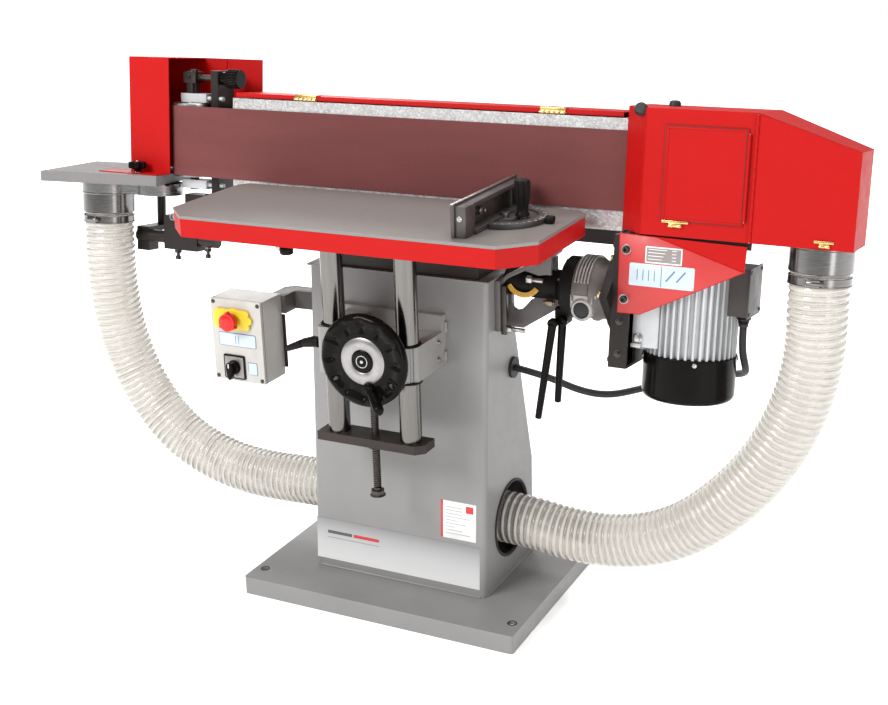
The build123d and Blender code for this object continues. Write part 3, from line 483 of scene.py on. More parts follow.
M = {
    "grey": painted("machine_grey", (0.262, 0.260, 0.256), (0.228, 0.227, 0.224), 0.42, 0.0,
                    (520, 0.14), 4.0),
    "bracket": painted("bracket_grey", (0.285, 0.28, 0.272), (0.24, 0.236, 0.23), 0.42, 0.0,
                       (520, 0.14), 9.0),
    # A darker copy of the bracket grey for the tilt casting: painted shade.
    "grey_painted_shade": painted("bracket_grey_painted_shade", (0.135, 0.124, 0.12), (0.11, 0.10, 0.097), 0.45, 0.0,
                          (520, 0.14), 9.0),
    "red": painted("guard_red", (0.435, 0.0042, 0.0034), (0.405, 0.0036, 0.003), 0.45, 0.0, (420, 0.08), 4.0),
    "black_steel": painted("black_steel", (0.026, 0.021, 0.019), (0.015, 0.012, 0.011), 0.36, 0.1,
                           (600, 0.1)),
    "arm": painted("arm_grey", (0.115, 0.105, 0.10), (0.09, 0.083, 0.08), 0.4, 0.1, (600, 0.1)),
    "brown": painted("dark_brown_paint", (0.035, 0.026, 0.023), (0.022, 0.017, 0.015), 0.4, 0.1, (600, 0.12)),
    "zinc": galvanised("galvanised_steel"),
    "chrome": bright_metal("bright_tube", (0.175, 0.166, 0.158), 0.19, (26, 26, 0.4)),
    "steel": bright_metal("bare_steel", (0.50, 0.49, 0.48), 0.3),
    "ring": bright_metal("wheel_ring", (0.36, 0.35, 0.345), 0.34),
    "scale": plastic("scale_yellow", (0.62, 0.33, 0.02), 0.4, 0.03, 0.0003),
    "dark_steel": bright_metal("dark_steel", (0.085, 0.075, 0.07), 0.35),
    "yellow_zinc": bright_metal("yellow_zinc", (0.78, 0.63, 0.36), 0.3),
    "brass_dark": bright_metal("passivated_steel", (0.30, 0.24, 0.15), 0.4),
    "brass": bright_metal("brass", (0.80, 0.56, 0.22), 0.25),
    "alloy": painted("motor_alloy", (0.56, 0.57, 0.58), (0.47, 0.48, 0.49), 0.4, 0.35, (700, 0.1), 12.0),
    "drum": bright_metal("drum_alloy", (0.52, 0.52, 0.52), 0.28, (1, 1, 20)),
    "cast": casting("gearbox_cast", (0.15, 0.135, 0.125)),
    "cast_light": casting("boss_cast", (0.40, 0.38, 0.365), 0.45),
    "mitre": casting("mitre_cast", (0.072, 0.064, 0.062), 0.42),
    "table": table_steel("table_top"),
    "side_table": painted("side_table_grey", (0.215, 0.21, 0.205), (0.18, 0.176, 0.172), 0.6, 0.0,
                          (500, 0.12), 9.0),
    "abrasive": abrasive("abrasive_cloth"),
    "black": plastic("black_plastic", (0.0055, 0.0045, 0.004), 0.14, 0.02, 0.0008),
    "black_matt": plastic("black_matt_plastic", (0.012, 0.0105, 0.010), 0.42, 0.08),
    "box_brown": plastic("terminal_brown", (0.036, 0.025, 0.023), 0.42, 0.08),
    # A lighter red copy of the guard paint: painted highlight on the bent lower part of the belt cover.
    "red_painted_highlight": painted("guard_red_painted_highlight", (0.50, 0.034, 0.031), (0.46, 0.026, 0.024), 0.42, 0.0,
                         (420, 0.08), 4.0),
    "rubber": plastic("black_rubber", (0.014, 0.014, 0.014), 0.6, 0.12),
    "fan_black": plastic("fan_cover_black", (0.0045, 0.0035, 0.003), 0.18, 0.05),
    "box": plastic("box_grey", (0.53, 0.515, 0.48), 0.38, 0.05, 0.0015),
    "stop_red": plastic("stop_red", (0.74, 0.012, 0.012), 0.22, 0.02, 0.0012, 0.3),
    "yellow": plastic("stop_yellow", (0.86, 0.58, 0.02), 0.3, 0.03, 0.0012),
    "pale_blue": label("pale_blue_label", (0.56, 0.66, 0.72)),
    "blue": label("blue_mark", (0.15, 0.22, 0.36)),
    "white": label("white_label", (0.82, 0.82, 0.81)),
    "label_red": label("label_red", (0.62, 0.03, 0.03)),
    "ink": label("label_ink", (0.10, 0.10, 0.11), 0.4, rounding=0.0002),
    "ink_grey": label("label_grey", (0.28, 0.25, 0.24), 0.4, rounding=0.0002),
    "film": clear_vinyl("hose_film", (0.63, 0.60, 0.56), 0.2, 0.68),
    "helix": clear_vinyl("hose_helix", (0.62, 0.59, 0.53), 0.3, 0.12),
    "switch_steel": bright_metal("switch_plate", (0.30, 0.28, 0.27), 0.35),
    # Dark red for the lines in the door gaps: painted shadow.
    "seam": label("door_gap_painted_shadow", (0.10, 0.002, 0.002), 0.5, rounding=0.0002),
    "print": label("print_grey", (0.33, 0.33, 0.34), 0.4, rounding=0.0002),
    "cuff": bright_metal("cuff_band", (0.22, 0.215, 0.21), 0.2, (1, 1, 12)),
    "chute": bright_metal("chute_steel", (0.30, 0.30, 0.30), 0.26, (1, 1, 12)),
    "plate": fading_label("column_panel", 0.058, 0.151, (0.80, 0.80, 0.80), (0.24, 0.24, 0.245)),
}

NODE_LOOKS = {
    "grey": ["base_plate", "column"],
    "bracket": ["lift_bracket", "tilt_bracket"],
    "red": ["table_frame", "end_guard", "rear_cover", "hood_shell", "hood_door", "access_door", "belt_cover"],
    "black_steel": ["mount_plate", "head_beam", "idler_plate", "support_arm", "support_bar", "clamp_collar",
                    "output_flange"],
    "arm": ["control_arm"],
    "brown": ["rest_block", "yoke_plate"],
    "zinc": ["platen_beam", "suction_duct"],
    "chrome": ["guide_tubes"],
    "dark_steel": ["idler_shaft"],
    "steel": ["wheel_shaft", "mitre_pins", "worm_shaft", "output_shaft", "motor_rotor", "hinge_pins"],
    "alloy": ["motor_body", "idler_arms"],
    "drum": ["idler_drum", "drive_drum"],
    "chute": ["dust_chute"],
    "cast": ["gearbox_housing"],
    "mitre": ["mitre_head"],
    "table": ["table_plate"],
    "side_table": ["left_table"],
    "abrasive": ["sanding_belt"],
    "black": ["tilt_handwheel", "crank_grip", "tracking_knob", "front_tilt_lever", "rear_tilt_lever"],
    "black_matt": ["switch_handle", "mitre_knob", "lift_lock_lever"],
    "box_brown": ["terminal_box"],
    "rubber": ["cable_grommet"],
    "fan_black": ["fan_cover"],
    "box": ["control_box", "control_lid"],
    "stop_red": ["stop_button"],
}


LESS_MIRROR = {
    0.08: ["black", "fan_black", "black_matt"],
    0.15: ["red", "side_table", "stop_red"],
    0.25: ["black_steel", "brown", "arm"],
}


def dull_looks():
    """Less mirror for the paints and plastics, which stand in a white room."""
    for level, looks in LESS_MIRROR.items():
        for look in looks:
            put(M[look].node_tree.nodes["Principled BSDF"], Specular_IOR_Level=level)


def dress_frame():
    """Gives the frame's own pieces their materials."""
    for look, names in NODE_LOOKS.items():
        for name in names:
            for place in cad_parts[name].material_slots:
                place.link = "OBJECT"
                place.material = M[look]


dull_looks()
dress_frame()


# ---- camera, light and floor -----------------------------------------------------------------------------
CAMERA_AT = Vector((1.3091, -2.4561, 1.4527))
CAMERA_YAW, CAMERA_PITCH, CAMERA_ROLL = 0.4713, 0.3267, -0.0278
LENS, SENSOR = 56.85, 36.0
ROOM_LIGHT = 0.42
FLOOR_HALF = 12.0
MACHINE_MIDDLE = (0, 0, 0.7)
WHITE = (1, 1, 1, 1)


def set_camera():
    data = bpy.data.cameras.new("camera")
    data.lens = LENS
    data.sensor_width = SENSOR
    eye = in_scene("camera", data)
    forward = Vector((
        -math.sin(CAMERA_YAW) * math.cos(CAMERA_PITCH),
        math.cos(CAMERA_YAW) * math.cos(CAMERA_PITCH),
        -math.sin(CAMERA_PITCH),
    ))
    level = Vector((math.cos(CAMERA_YAW), math.sin(CAMERA_YAW), 0))
    up = level.cross(forward)
    right = level * math.cos(CAMERA_ROLL) + up * math.sin(CAMERA_ROLL)
    above = up * math.cos(CAMERA_ROLL) - level * math.sin(CAMERA_ROLL)
    turn = Matrix((right, above, -forward)).transposed().to_4x4()
    eye.matrix_world = Matrix.Translation(CAMERA_AT) @ turn
    bpy.context.scene.camera = eye


def area_light(name, at, size, power):
    """A white rectangle of light that faces the machine's middle."""
    data = bpy.data.lights.new(name, "AREA")
    data.shape = "RECTANGLE"
    data.size, data.size_y = size
    data.energy = power
    lamp = in_scene(name, data)
    lamp.location = at
    lamp.rotation_euler = (Vector(MACHINE_MIDDLE) - Vector(at)).to_track_quat("-Z", "Y").to_euler()


def set_lights():
    """A warm white room that lights the machine, with pure white behind it, and four lamps."""
    world = bpy.data.worlds.new("studio")
    world.use_nodes = True
    tree = world.node_tree
    room = put(tree.nodes["Background"], Color=(1.0, 0.985, 0.97, 1), Strength=ROOM_LIGHT)
    choice = node(tree, "MixShader")
    join(tree, node(tree, "LightPath").outputs["Is Camera Ray"], choice, 0)
    join(tree, room, choice, 1)
    join(tree, node(tree, "Background", Color=WHITE, Strength=1.0), choice, 2)
    join(tree, choice, tree.nodes["World Output"], "Surface")
    bpy.context.scene.world = world
    area_light("key", (-1.6, -3.2, 3.2), (1.8, 1.6), 150)
    area_light("fill", (3.4, -2.2, 1.6), (1.0, 2.4), 34)
    area_light("top", (0.2, 0.6, 3.6), (3.0, 2.0), 95)
    area_light("back", (-2.2, 2.6, 2.0), (1.6, 1.6), 30)


def make_floor():
    """A near-white floor that glows more with distance, so that its far edge meets the white behind it."""
    look = Look("floor")
    look.tint(look.texture(Scale=2.0, Detail=3.0), [(0.3, (0.88, 0.88, 0.88)), (0.7, (0.92, 0.92, 0.92))])
    away = look.add("VectorMath", operation="LENGTH")
    look.join(look.where, away, "Vector")
    glow = look.add("MapRange", From_Min=1.0, From_Max=3.2, To_Min=0.45, To_Max=1.4)
    look.join(away.outputs["Value"], glow, "Value")
    look.join(glow, look.bsdf, "Emission Strength")
    put(look.bsdf, Roughness=0.6, Emission_Color=WHITE)
    half = FLOOR_HALF
    mesh = bpy.data.meshes.new("floor")
    mesh.from_pydata([(-half, -half, 0), (half, -half, 0), (half, half, 0), (-half, half, 0)], [],
                     [(0, 1, 2, 3)])
    mesh.materials.append(look.material)
    in_scene("floor", mesh)


set_camera()
set_lights()
make_floor()
bpy.context.scene.view_settings.view_transform = "Standard"


# ---- hoses and cable -------------------------------------------------------------------------------------
HOSE_R = 55.0
DUCT_HALF = 150.0
PORTS = {"left": Vector((-772, 0, -92)), "right": Vector((820, 0, -76))}


def of_head(x, y, z):
    """A point of the head's frame, in millimetres of the row frame."""
    return HEAD @ Vector((x, y, z)) * 1000


LEFT_ROUTE = [
    of_head(-772, 0, -92),
    of_head(-772, 0, -150),
    (-776, -28, 600),
    (-774, -20, 490),
    (-748, -12, 384),
    (-696, -6, 290),
    (-624, 0, 218),
    (-530, 4, 176),
    (-425, 7, 160),
    (-320, 8, 164),
    (-235, 8, 167),
    (-DUCT_HALF, 8, 167),
]
RIGHT_ROUTE = [
    of_head(820, 0, -76),
    of_head(820, 0, -134),
    (819, -14, 620),
    (796, -6, 505),
    (744, 0, 388),
    (666, 4, 284),
    (566, 7, 198),
    (450, 8, 156),
    (340, 8, 152),
    (240, 8, 167),
    (DUCT_HALF, 8, 167),
]
CABLE_ROUTE = [
    of_head(678, 48, -202),
    of_head(678, 48, -245),
    (681, 32, 560),
    (670, 80, 530),
    (636, 124, 508),
    (575, 148, 490),
    (510, 138, 474),
    (450, 95, 460),
    (400, 52, 454),
    (345, 32, 464),
    (280, 25, 488),
    (208, 24, 498),
]


def smooth_line(points):
    """Points along the route's NURBS spline, in metres."""
    data = bpy.data.curves.new("route", "CURVE")
    data.dimensions = "3D"
    data.resolution_u = 24
    spline = data.splines.new("NURBS")
    spline.points.add(len(points) - 1)
    for knot, point in zip(spline.points, points):
        knot.co = (*(Vector(point) * 0.001), 1)
    spline.order_u = 3
    spline.use_endpoint_u = True
    carrier = bpy.data.objects.new("route", data)
    bpy.context.scene.collection.objects.link(carrier)
    bpy.context.view_layer.update()
    mesh = bpy.data.meshes.new_from_object(carrier.evaluated_get(bpy.context.evaluated_depsgraph_get()))
    line = [v.co.copy() for v in mesh.vertices]
    bpy.data.objects.remove(carrier)
    bpy.data.curves.remove(data)
    bpy.data.meshes.remove(mesh)
    return line


class Track:
    """A line with its length, and a frame that doesn't twist at any distance along it."""

    def __init__(self, line):
        self.line = line
        self.reach = [0.0]
        for a, b in zip(line, line[1:]):
            self.reach.append(self.reach[-1] + (b - a).length)
        self.length = self.reach[-1]
        tangents = []
        for i in range(len(line)):
            before, after = line[max(0, i - 1)], line[min(len(line) - 1, i + 1)]
            tangents.append((after - before).normalized())
        side = tangents[0].orthogonal().normalized()
        self.frames = []
        for tangent in tangents:
            side = (side - tangent * side.dot(tangent)).normalized()
            self.frames.append((tangent, side, tangent.cross(side)))

    def at(self, distance):
        """The point and the frame at a distance from the start."""
        distance = min(max(distance, 0.0), self.length)
        low, high = 0, len(self.reach) - 1
        while high - low > 1:
            middle = (low + high) // 2
            if self.reach[middle] <= distance:
                low = middle
            else:
                high = middle
        share = (distance - self.reach[low]) / max(1e-9, self.reach[high] - self.reach[low])
        point = self.line[low].lerp(self.line[high], share)
        frame_at = [a.lerp(b, share).normalized() for a, b in zip(self.frames[low], self.frames[high])]
        return point, frame_at


def lay(name, skin, looks):
    """Makes a hose or cable of its skin, in place of the drawn one."""
    bmesh.ops.recalc_face_normals(skin, faces=skin.faces)
    thing = as_object(name, skin, *[M[look] for look in looks])
    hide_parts(name.replace("_skin", ""))
    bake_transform(thing)


def helix_faces(part, grid, rows, last, marked=()):
    """Faces between turns of vertices that climb by `rows` rows a turn. Marked rows take the second look."""
    sides = len(grid[0])
    for i in range(last):
        for j in range(sides):
            if j + 1 < sides:
                corners = (grid[i][j], grid[i][j + 1], grid[i + 1][j + 1], grid[i + 1][j])
            elif i + 1 + rows < len(grid):
                corners = (grid[i][j], grid[i + rows][0], grid[i + 1 + rows][0], grid[i + 1][j])
            else:
                continue
            part.faces.new(corners).material_index = int(i % rows in marked)


def band_faces(part, rows):
    """Faces between closed rows of vertices."""
    for a, b in zip(rows, rows[1:]):
        for i in range(len(a)):
            j = (i + 1) % len(a)
            part.faces.new((a[i], a[j], b[j], b[i]))


def ribbed_hose(name, route):
    """A clear vinyl hose with a helical wire: one skin whose rows follow the helix."""
    track = Track(smooth_line(route))
    pitch, rows, sides = 0.0145, 6, 40
    crown = [0.0, 0.0, -0.0019, -0.0026, -0.0026, -0.0019]
    end_swell = -0.0018
    weld = 0.00002
    radius = HOSE_R * 0.001 - 0.0003
    skin = bmesh.new()
    grid = []
    for i in range(-rows, math.ceil(track.length / pitch) * rows + 1):
        row = []
        for j in range(sides):
            along = (i / rows + j / sides) * pitch
            point, (_, side, over) = track.at(along)
            swell = crown[i % rows] if 0 < along < track.length else end_swell
            turn = 2 * math.pi * j / sides
            way = side * math.cos(turn) + over * math.sin(turn)
            row.append(skin.verts.new(point + way * (radius + swell)))
        grid.append(row)
    helix_faces(skin, grid, rows, len(grid) - 1, marked=(0, 5))
    bmesh.ops.remove_doubles(skin, verts=skin.verts, dist=weld)
    bmesh.ops.dissolve_degenerate(skin, edges=skin.edges, dist=weld)
    lay(name, skin, ["film", "helix"])


def round_cable(name, route, radius):
    track = Track(smooth_line(route))
    sides, step = 16, 0.004
    skin = bmesh.new()
    count = int(track.length / step)
    rows = []
    for i in range(count + 1):
        point, (_, side, over) = track.at(track.length * i / count)
        rows.append([skin.verts.new(point + (side * math.cos(turn) + over * math.sin(turn)) * radius)
                     for turn in (2 * math.pi * j / sides for j in range(sides))])
    band_faces(skin, rows)
    skin.faces.new(list(reversed(rows[0])))
    skin.faces.new(rows[-1])
    lay(name, skin, ["rubber"])


ribbed_hose("left_hose_skin", LEFT_ROUTE)
ribbed_hose("right_hose_skin", RIGHT_ROUTE)
round_cable("motor_cable_skin", CABLE_ROUTE, 0.007)


def hose_clamps():
    """Band clamps with their worm screws where the hoses go over the spigots."""
    for side, port in PORTS.items():
        band = ring("Z", port, HOSE_R + 1.6, HOSE_R - 0.5, (-22, -8))
        edge = ring("Z", port, HOSE_R + 2.4, HOSE_R - 0.5, (-24, -21.5))
        worm = rod("X", port + Vector((0, -HOSE_R - 5, -15)), 5.0, (-11, 13), 1.0, 20)
        head = hexagon("X", port + Vector((0, -HOSE_R - 5, -15)), 8, (13, 19), 0.5)
        saddle = block((port.x - 12, port.x + 12), (-HOSE_R - 6, -HOSE_R + 1), (port.z - 22, port.z - 8), 1.0)
        piece(f"{side}_hose_clamp", [band, edge, worm, head, saddle], "cuff", "head")


hose_clamps()


# ---- pedestal pieces -------------------------------------------------------------------------------------
COLUMN_SLOPE = 38 / 665


def column_front(z):
    """Y of the column's sloping front wall, in millimetres."""
    return -129 + (z - 40) * COLUMN_SLOPE


def front_panel(name, x, z, thick, look, radius=0.3):
    """A thin panel lying on the sloping front wall."""
    points = [(column_front(z[0]) - thick, z[0]), (column_front(z[0]) + 0.2, z[0]),
              (column_front(z[1]) + 0.2, z[1]), (column_front(z[1]) - thick, z[1])]
    piece(name, prism(points, "X", x, radius), look, "stand")


def column_labels():
    front_panel("column_panel", (-199, 190), (58, 151), 0.8, "plate")
    front_panel("panel_bar_dark", (-172, -112), (118, 125), 1.0, "ink")
    front_panel("panel_bar_red", (-108, -46), (118, 125), 1.0, "label_red")
    front_panel("panel_line", (-172, -46), (108, 110), 1.0, "print")
    front_panel("sticker", (101, 181), (161, 243), 0.7, "white")
    front_panel("sticker_stripe", (101, 106), (161, 243), 0.9, "label_red")
    front_panel("sticker_square", (158, 175), (222, 237), 0.9, "label_red")
    for row in range(9):
        z = 172 + row * 7.2
        reach = 150 if row > 6 else 168 - (row * 37 % 5) * 9
        front_panel(f"sticker_line_{row}", (112, reach), (z, z + 1.2), 0.85, "print", radius=0)


def hose_hole_rings():
    for side in (-1, 1):
        at = Vector((side * 202, 8, 167))
        span = sorted((0, side * 3.2))
        rim = combine(ring("X", at, 84, 79.2, span, bevel=1.2),
                      ring("X", at, 80.5, 77.6, sorted((-side * 6, side))))
        piece("left_hole_edging" if side < 0 else "right_hole_edging", rim, "rubber", "stand")


def rear_outlet_clamp():
    at = Vector((0, 129, 150))
    band = ring("Y", at, 62, 59.9, (34, 46))
    bead = torus("Y", at + Vector((0, 56, 0)), 60.4, 1.6)
    flange = ring("Y", at, 80, 59.8, (3.0, 5.2))
    screws = [hex_bolt("Y", at + spoke("Y", 71, a, 5.2), 6, 1) for a in turns(4, 45)]
    piece("rear_outlet_flange", [flange, *screws], "zinc", "stand")
    piece("rear_outlet_bead", [band, bead], "cuff", "stand")


def base_details():
    for x in (-293, 293):
        for y in (-196, 196):
            piece(f"anchor_rim_{x}_{y}".replace("-", "m"), ring("Z", (x, y, 40), 10, 7.1, (-0.2, 0.5)),
                  "dark_steel", "stand")
    weld = []
    for side in (-1, 1):
        weld.append(between((side * 202, -118, 41.5), (side * 202, 118, 41.5), 3.2, 3.2, 10))
        weld.append(between((-192, side * 129, 41.5), (192, side * 129, 41.5), 3.2, 3.2, 10))
    piece("column_weld", weld, "grey", "stand")


column_labels()
hose_hole_rings()
rear_outlet_clamp()
base_details()


TUBES = (-81, 81)
LIFT_Y = -210


def lift_bracket_details():
    weld = [between((107, column_front(z) - 4, z), (107, column_front(z + 22) - 4, z + 22), 4, 4, 10)
            for z in (540, 600)]
    piece("bracket_weld", weld, "bracket", "stand", LIFT)
    bolts = [hex_bolt("X", (106, -132, z), 8, 1) for z in (552, 588)]
    bolts += [pan_screw("Z", (-14, -150, 604), 5, 1), pan_screw("Z", (46, -150, 604), 5, 1)]
    piece("bracket_bolts", bolts, "steel", "stand", LIFT)
    piece("shaft_boss", ring("Y", (24.5, -238, 588), 24, 8.6, (-7, 0), bevel=1.5), "bracket", "stand", LIFT)
    wipers = [ring("Z", (x, LIFT_Y, z), 27, 22.3, span, bevel=1.0)
              for x, z, span in ((-81, 628, (0, 4)), (81, 604, (0, 4)), (-81, 533, (-4, 0)),
                                 (81, 533, (-4, 0)))]
    piece("tube_wipers", wipers, "black_matt", "stand", LIFT)


lift_bracket_details()


# ---- control box -----------------------------------------------------------------------------------------
LID = -122


def flat_shape(points, thick, bevel=0.8):
    """A plate on the lid's front, from X and Z points."""
    return prism(points, "Y", (LID - thick, LID), bevel)


def lid_panel(name, x, z, radius, thick, look, bevel=0):
    """A plate with rounded corners on the lid's front."""
    piece(name, flat_shape(rounded_plate(x, z, radius), thick, bevel), look, "stand")


def control_details():
    stop = Vector((-376, LID, 577))
    yellow = flat_shape(rounded_plate((-426, -340), (555, 599), 13), 7, 1.6)
    lobe = combine(*[rod("Y", (x, LID, z), r, (-6.4, 0), 1.4, 30)
                     for x, z, r in ((-340, 577, 9.5), (-345, 563, 8), (-345, 591, 8))])
    collar = lathe([(6.6, -9), (20, -9), (24, -7), (25, 0), (6.6, 0)], "Y", stop, 40)
    piece("stop_plate", [yellow, lobe, collar], "yellow", "stand")
    tabs = [rod("Y", stop + spoke("Y", 19.5, a), 3.6, (-31, -21), 1.0, 20) for a in turns(3, 90)]
    dome = lathe([(0, -33.5), (9, -33.2), (15, -32.4), (18.6, -30.4), (19.3, -27), (19.3, -20), (18, -18),
                  (0, -18)], "Y", stop, 40, closed=False)
    piece("stop_cap", [dome, *tabs], "stop_red", "stop_button")
    lid_panel("box_label_edge", (-420, -326), (515, 545), 3, 0.7, "blue")
    lid_panel("box_label", (-418.6, -327.4), (516.4, 543.6), 2.4, 1.1, "pale_blue")
    mark = [flat_shape(bar((x, x + 1.4), (521, 539)), 1.4, 0) for x in (-378, -370.6)]
    piece("box_label_mark", mark, "blue", "stand")
    lid_panel("switch_frame", (-411, -357), (442, 496), 4, 3.2, "black_matt", 0.8)
    lid_panel("switch_face", (-407.5, -360.5), (445.5, 492.5), 2, 4.4, "switch_steel", 0.3)
    lid_panel("side_label_edge", (-350, -327), (455, 483), 2.5, 0.7, "blue")
    lid_panel("side_label", (-348.8, -328.2), (456.2, 481.8), 2, 1.1, "pale_blue")
    screws = [pan_screw("Y", (x, LID, z), 4.6, -1) for x in (-429, -317) for z in (444, 611)]
    piece("lid_screws", screws, "dark_steel", "stand")
    seal = block((-436.3, -309.7), (-115, -113.6), (436.7, 618.3), 0.2)
    piece("lid_seam", seal, "ink", "stand")
    piece("box_back_plate", block((-352, -303), (-41.8, -38.8), (452, 572), 0.8), "black_steel", "stand")


def switch_knob():
    """A rotary switch: a skirt and a pointed handle with a white mark."""
    at = Vector((-384, LID, 469))
    skirt = lathe([(0, -14), (12, -14), (15, -11.5), (16, -5.2), (0, -5.2)], "Y", at, 40, closed=False)
    outline = [(-6, 14), (6, 14), (7.5, 4), (6, -12), (2.2, -23), (-2.2, -23), (-6, -12), (-7.5, 4)]
    handle = prism([(at.x + a, at.z + b) for a, b in outline], "Y", (LID - 26, LID - 12), 1.8)
    knob = piece("switch_knob", [skirt, handle], "black", "switch")
    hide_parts("switch_handle")
    mark = prism(bar((at.x - 1.2, at.x + 1.2), (at.z + 4, at.z + 13)), "Y", (LID - 26.5, LID - 25.6), 0.1)
    piece("switch_mark", mark, "white", "switch")


control_details()
switch_knob()


# ---- table and lift --------------------------------------------------------------------------------------
def threaded_screw():
    """The lead screw with a trapezoidal helical thread, its stop collar and its gear."""
    pitch, core, crest, sides, rows = 5.0, 6.3, 8.0, 28, 4
    low, high = 290.0, 574.0
    swell = (0.0, 1.0, 1.0, 0.0)
    part = bmesh.new()
    count = int((high - low) / pitch * rows)
    grid = []
    for i in range(count + 1):
        row = []
        for j in range(sides):
            z = min(max(low + (i / rows + j / sides) * pitch, low), high)
            radius = core + (crest - core) * swell[i % rows]
            turn = 2 * math.pi * j / sides
            row.append(part.verts.new((radius * math.cos(turn), LIFT_Y + radius * math.sin(turn), z)))
        grid.append(row)
    helix_faces(part, grid, rows, count - rows)
    bmesh.ops.recalc_face_normals(part, faces=part.faces)
    axis = Vector((0, LIFT_Y, 0))
    ends = [rod("Z", axis, core + 0.4, (272, 292), 0.6), rod("Z", axis, 8.0, (568, 600), 0.6),
            hexagon("Z", axis, 26, (276, 287), 1.0), rod("Z", axis, 15.8, (274.5, 276.5), 0.4),
            rod("Z", axis, 13.7, (581, 595), 0.8)]
    thing = piece("lead_screw_thread", [part, *ends], "dark_steel", "lead_screw", LIFT)
    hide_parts("lead_screw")


def lift_details():
    heads = [hexagon("Z", (x, LIFT_Y, 388), 16, (-7, 0)) for x in TUBES]
    piece("yoke_bolts", heads, "dark_steel", "lift", LIFT)
    collars = [ring("Z", (x, LIFT_Y, 0), 33, 22.05, (808, 815), bevel=1.2) for x in TUBES]
    piece("tube_collars", collars, "black_steel", "lift", LIFT)
    under = Vector((-150, -250, 0))
    knob = combine(rod("Z", under, 5, (786, 814), 0.5), rod("Z", under, 13.5, (771, 787), 4.5))
    piece("under_table_knob", knob, "black_matt", "lift")
    piece("under_table_nut", hexagon("X", (-164, -250, 783), 11, (-8, 2)), "steel", "lift")


threaded_screw()
lift_details()

WHEEL = Vector((30.5, -282, 588))


def handwheel_body():
    """A dished solid handwheel with finger hollows all round its front, near the rim."""
    part = bmesh.new()
    sides, hollows = 144, 12
    # radius and distance in front of the wheel's mid plane, from the front centre over the rim to the back
    profile = [(6.0, 9.5), (20.0, 9.5), (22.2, 8.8), (23.0, 7.4), (47.0, 6.4), (49.0, 7.0), (56.0, 5.5),
               (64.0, 5.0), (71.0, 7.6), (77.0, 10.6), (83.0, 11.2), (89.0, 8.6), (92.4, 3.4), (93.0, -2.0),
               (91.0, -7.5), (85.0, -11.2), (78.0, -11.6), (74.0, -8.0), (70.0, -1.5), (40.0, 0.5),
               (26.0, -3.0), (25.0, -15.5), (9.0, -15.5)]
    rings = []
    for radius, front in profile:
        row = []
        for i in range(sides):
            turn = 2 * math.pi * i / sides
            depth = front
            if 63 < radius < 84 and front > 4:
                wave = max(0.0, math.cos(hollows * turn)) ** 1.5
                depth -= 6.2 * wave * math.exp(-((radius - 73) / 8.0) ** 2)
            row.append(part.verts.new((WHEEL.x + radius * math.cos(turn), WHEEL.y - depth,
                                       WHEEL.z + radius * math.sin(turn))))
        rings.append(row)
    band_faces(part, rings)
    part.faces.new(rings[0])
    part.faces.new(list(reversed(rings[-1])))
    bmesh.ops.recalc_face_normals(part, faces=part.faces)
    wheel = piece("handwheel_body", part, "black", "handwheel", smooth=60)
    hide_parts("handwheel")


def handwheel_trim():
    at = WHEEL
    silver = lathe([(23.2, -7.2), (24.4, -8.2), (46, -7.4), (47.4, -6.0), (46, -4.5), (23.2, -5.5)], "Y",
                   at, 72)
    piece("handwheel_ring", silver, "ring", "handwheel", smooth=50)
    centre = combine(ring("Y", at, 12.4, 10.8, (-10.2, -9.2), bevel=0.2),
                     rod("Y", at, 3.4, (-10.8, -9.0), 0.6, 28))
    piece("handwheel_centre", centre, "drum", "handwheel")
    boss = combine(rod("Y", (41.5, -282, 533), 13, (-14, -2), 3.0, 36),
                   between((41.5, -288, 533), (48.5, -295, 529), 8.5, 8.0, 28))
    piece("crank_boss", boss, "black", "handwheel")
    collar = between((47, -292.5, 530), (50.5, -296, 528), 5.5, 5.5, 24, 0.6)
    piece("crank_collar", collar, "chrome", "handwheel")


def crank_handle():
    """The turning grip: a barrel that swells towards its rounded end."""
    root, end = Vector((41.5, -287, 533)), Vector((95.5, -338, 502))
    along = (end - root).normalized()
    profile = [(4.2, 9.4), (7.6, 9.4), (8.6, 11), (8.2, 16), (8.8, 26), (10.2, 42), (10.8, 54), (10.2, 62),
               (7.6, 67.5), (3.6, 69.8), (0, 70.2)]
    grip = lathe(profile, "Z", Vector(), 44, closed=False)
    turn = Vector((0, 0, 1)).rotation_difference(along).to_matrix().to_4x4()
    bmesh.ops.transform(grip, matrix=Matrix.Translation(root) @ turn, verts=grip.verts)
    handle = piece("crank_handle", grip, "black", "crank_grip")
    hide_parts("crank_grip")


def lock_lever():
    """Clamping lever: a round hub that runs into a tapering handle."""
    hub = combine(rod("X", (0, LIFT_Y, 585), 11, (-128, -112), 2.0, 30),
                  rod("X", (0, LIFT_Y, 585), 6, (-112, -98), 0.4))
    handle = combine(between((-120, LIFT_Y, 586), (-152, -212, 579), 11.5, 9.0, 18, 3.0),
                     between((-150, -212, 579), (-188, -214, 563), 8.6, 6.4, 18, 3.0))
    lever = piece("lock_lever", [hub, handle], "black_matt", "lift_lock")
    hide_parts("lift_lock_lever")


def switchgear_arm():
    """Square tube from behind the control box back to the column's side."""
    plan = [(-340, -42), (-300, -42), (-300, 0), (-202, 4), (-202, 38), (-322, 38), (-340, 22)]
    arm = piece("switchgear_arm", prism(plan, "Z", (574, 614), 2.0), "arm", "stand")
    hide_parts("control_arm")


handwheel_body()
handwheel_trim()
crank_handle()
lock_lever()
switchgear_arm()


# ---- mitre fence -----------------------------------------------------------------------------------------
MITRE = Vector((268, -150, 852))


def arc_plate(inner, outer, reach, z, steps=40):
    """A flat sector ring about the mitre's pivot, reaching as many degrees to either side of +X."""
    return prism(sector(MITRE, inner, outer, -reach, reach, steps), "Z", z, 0.8)


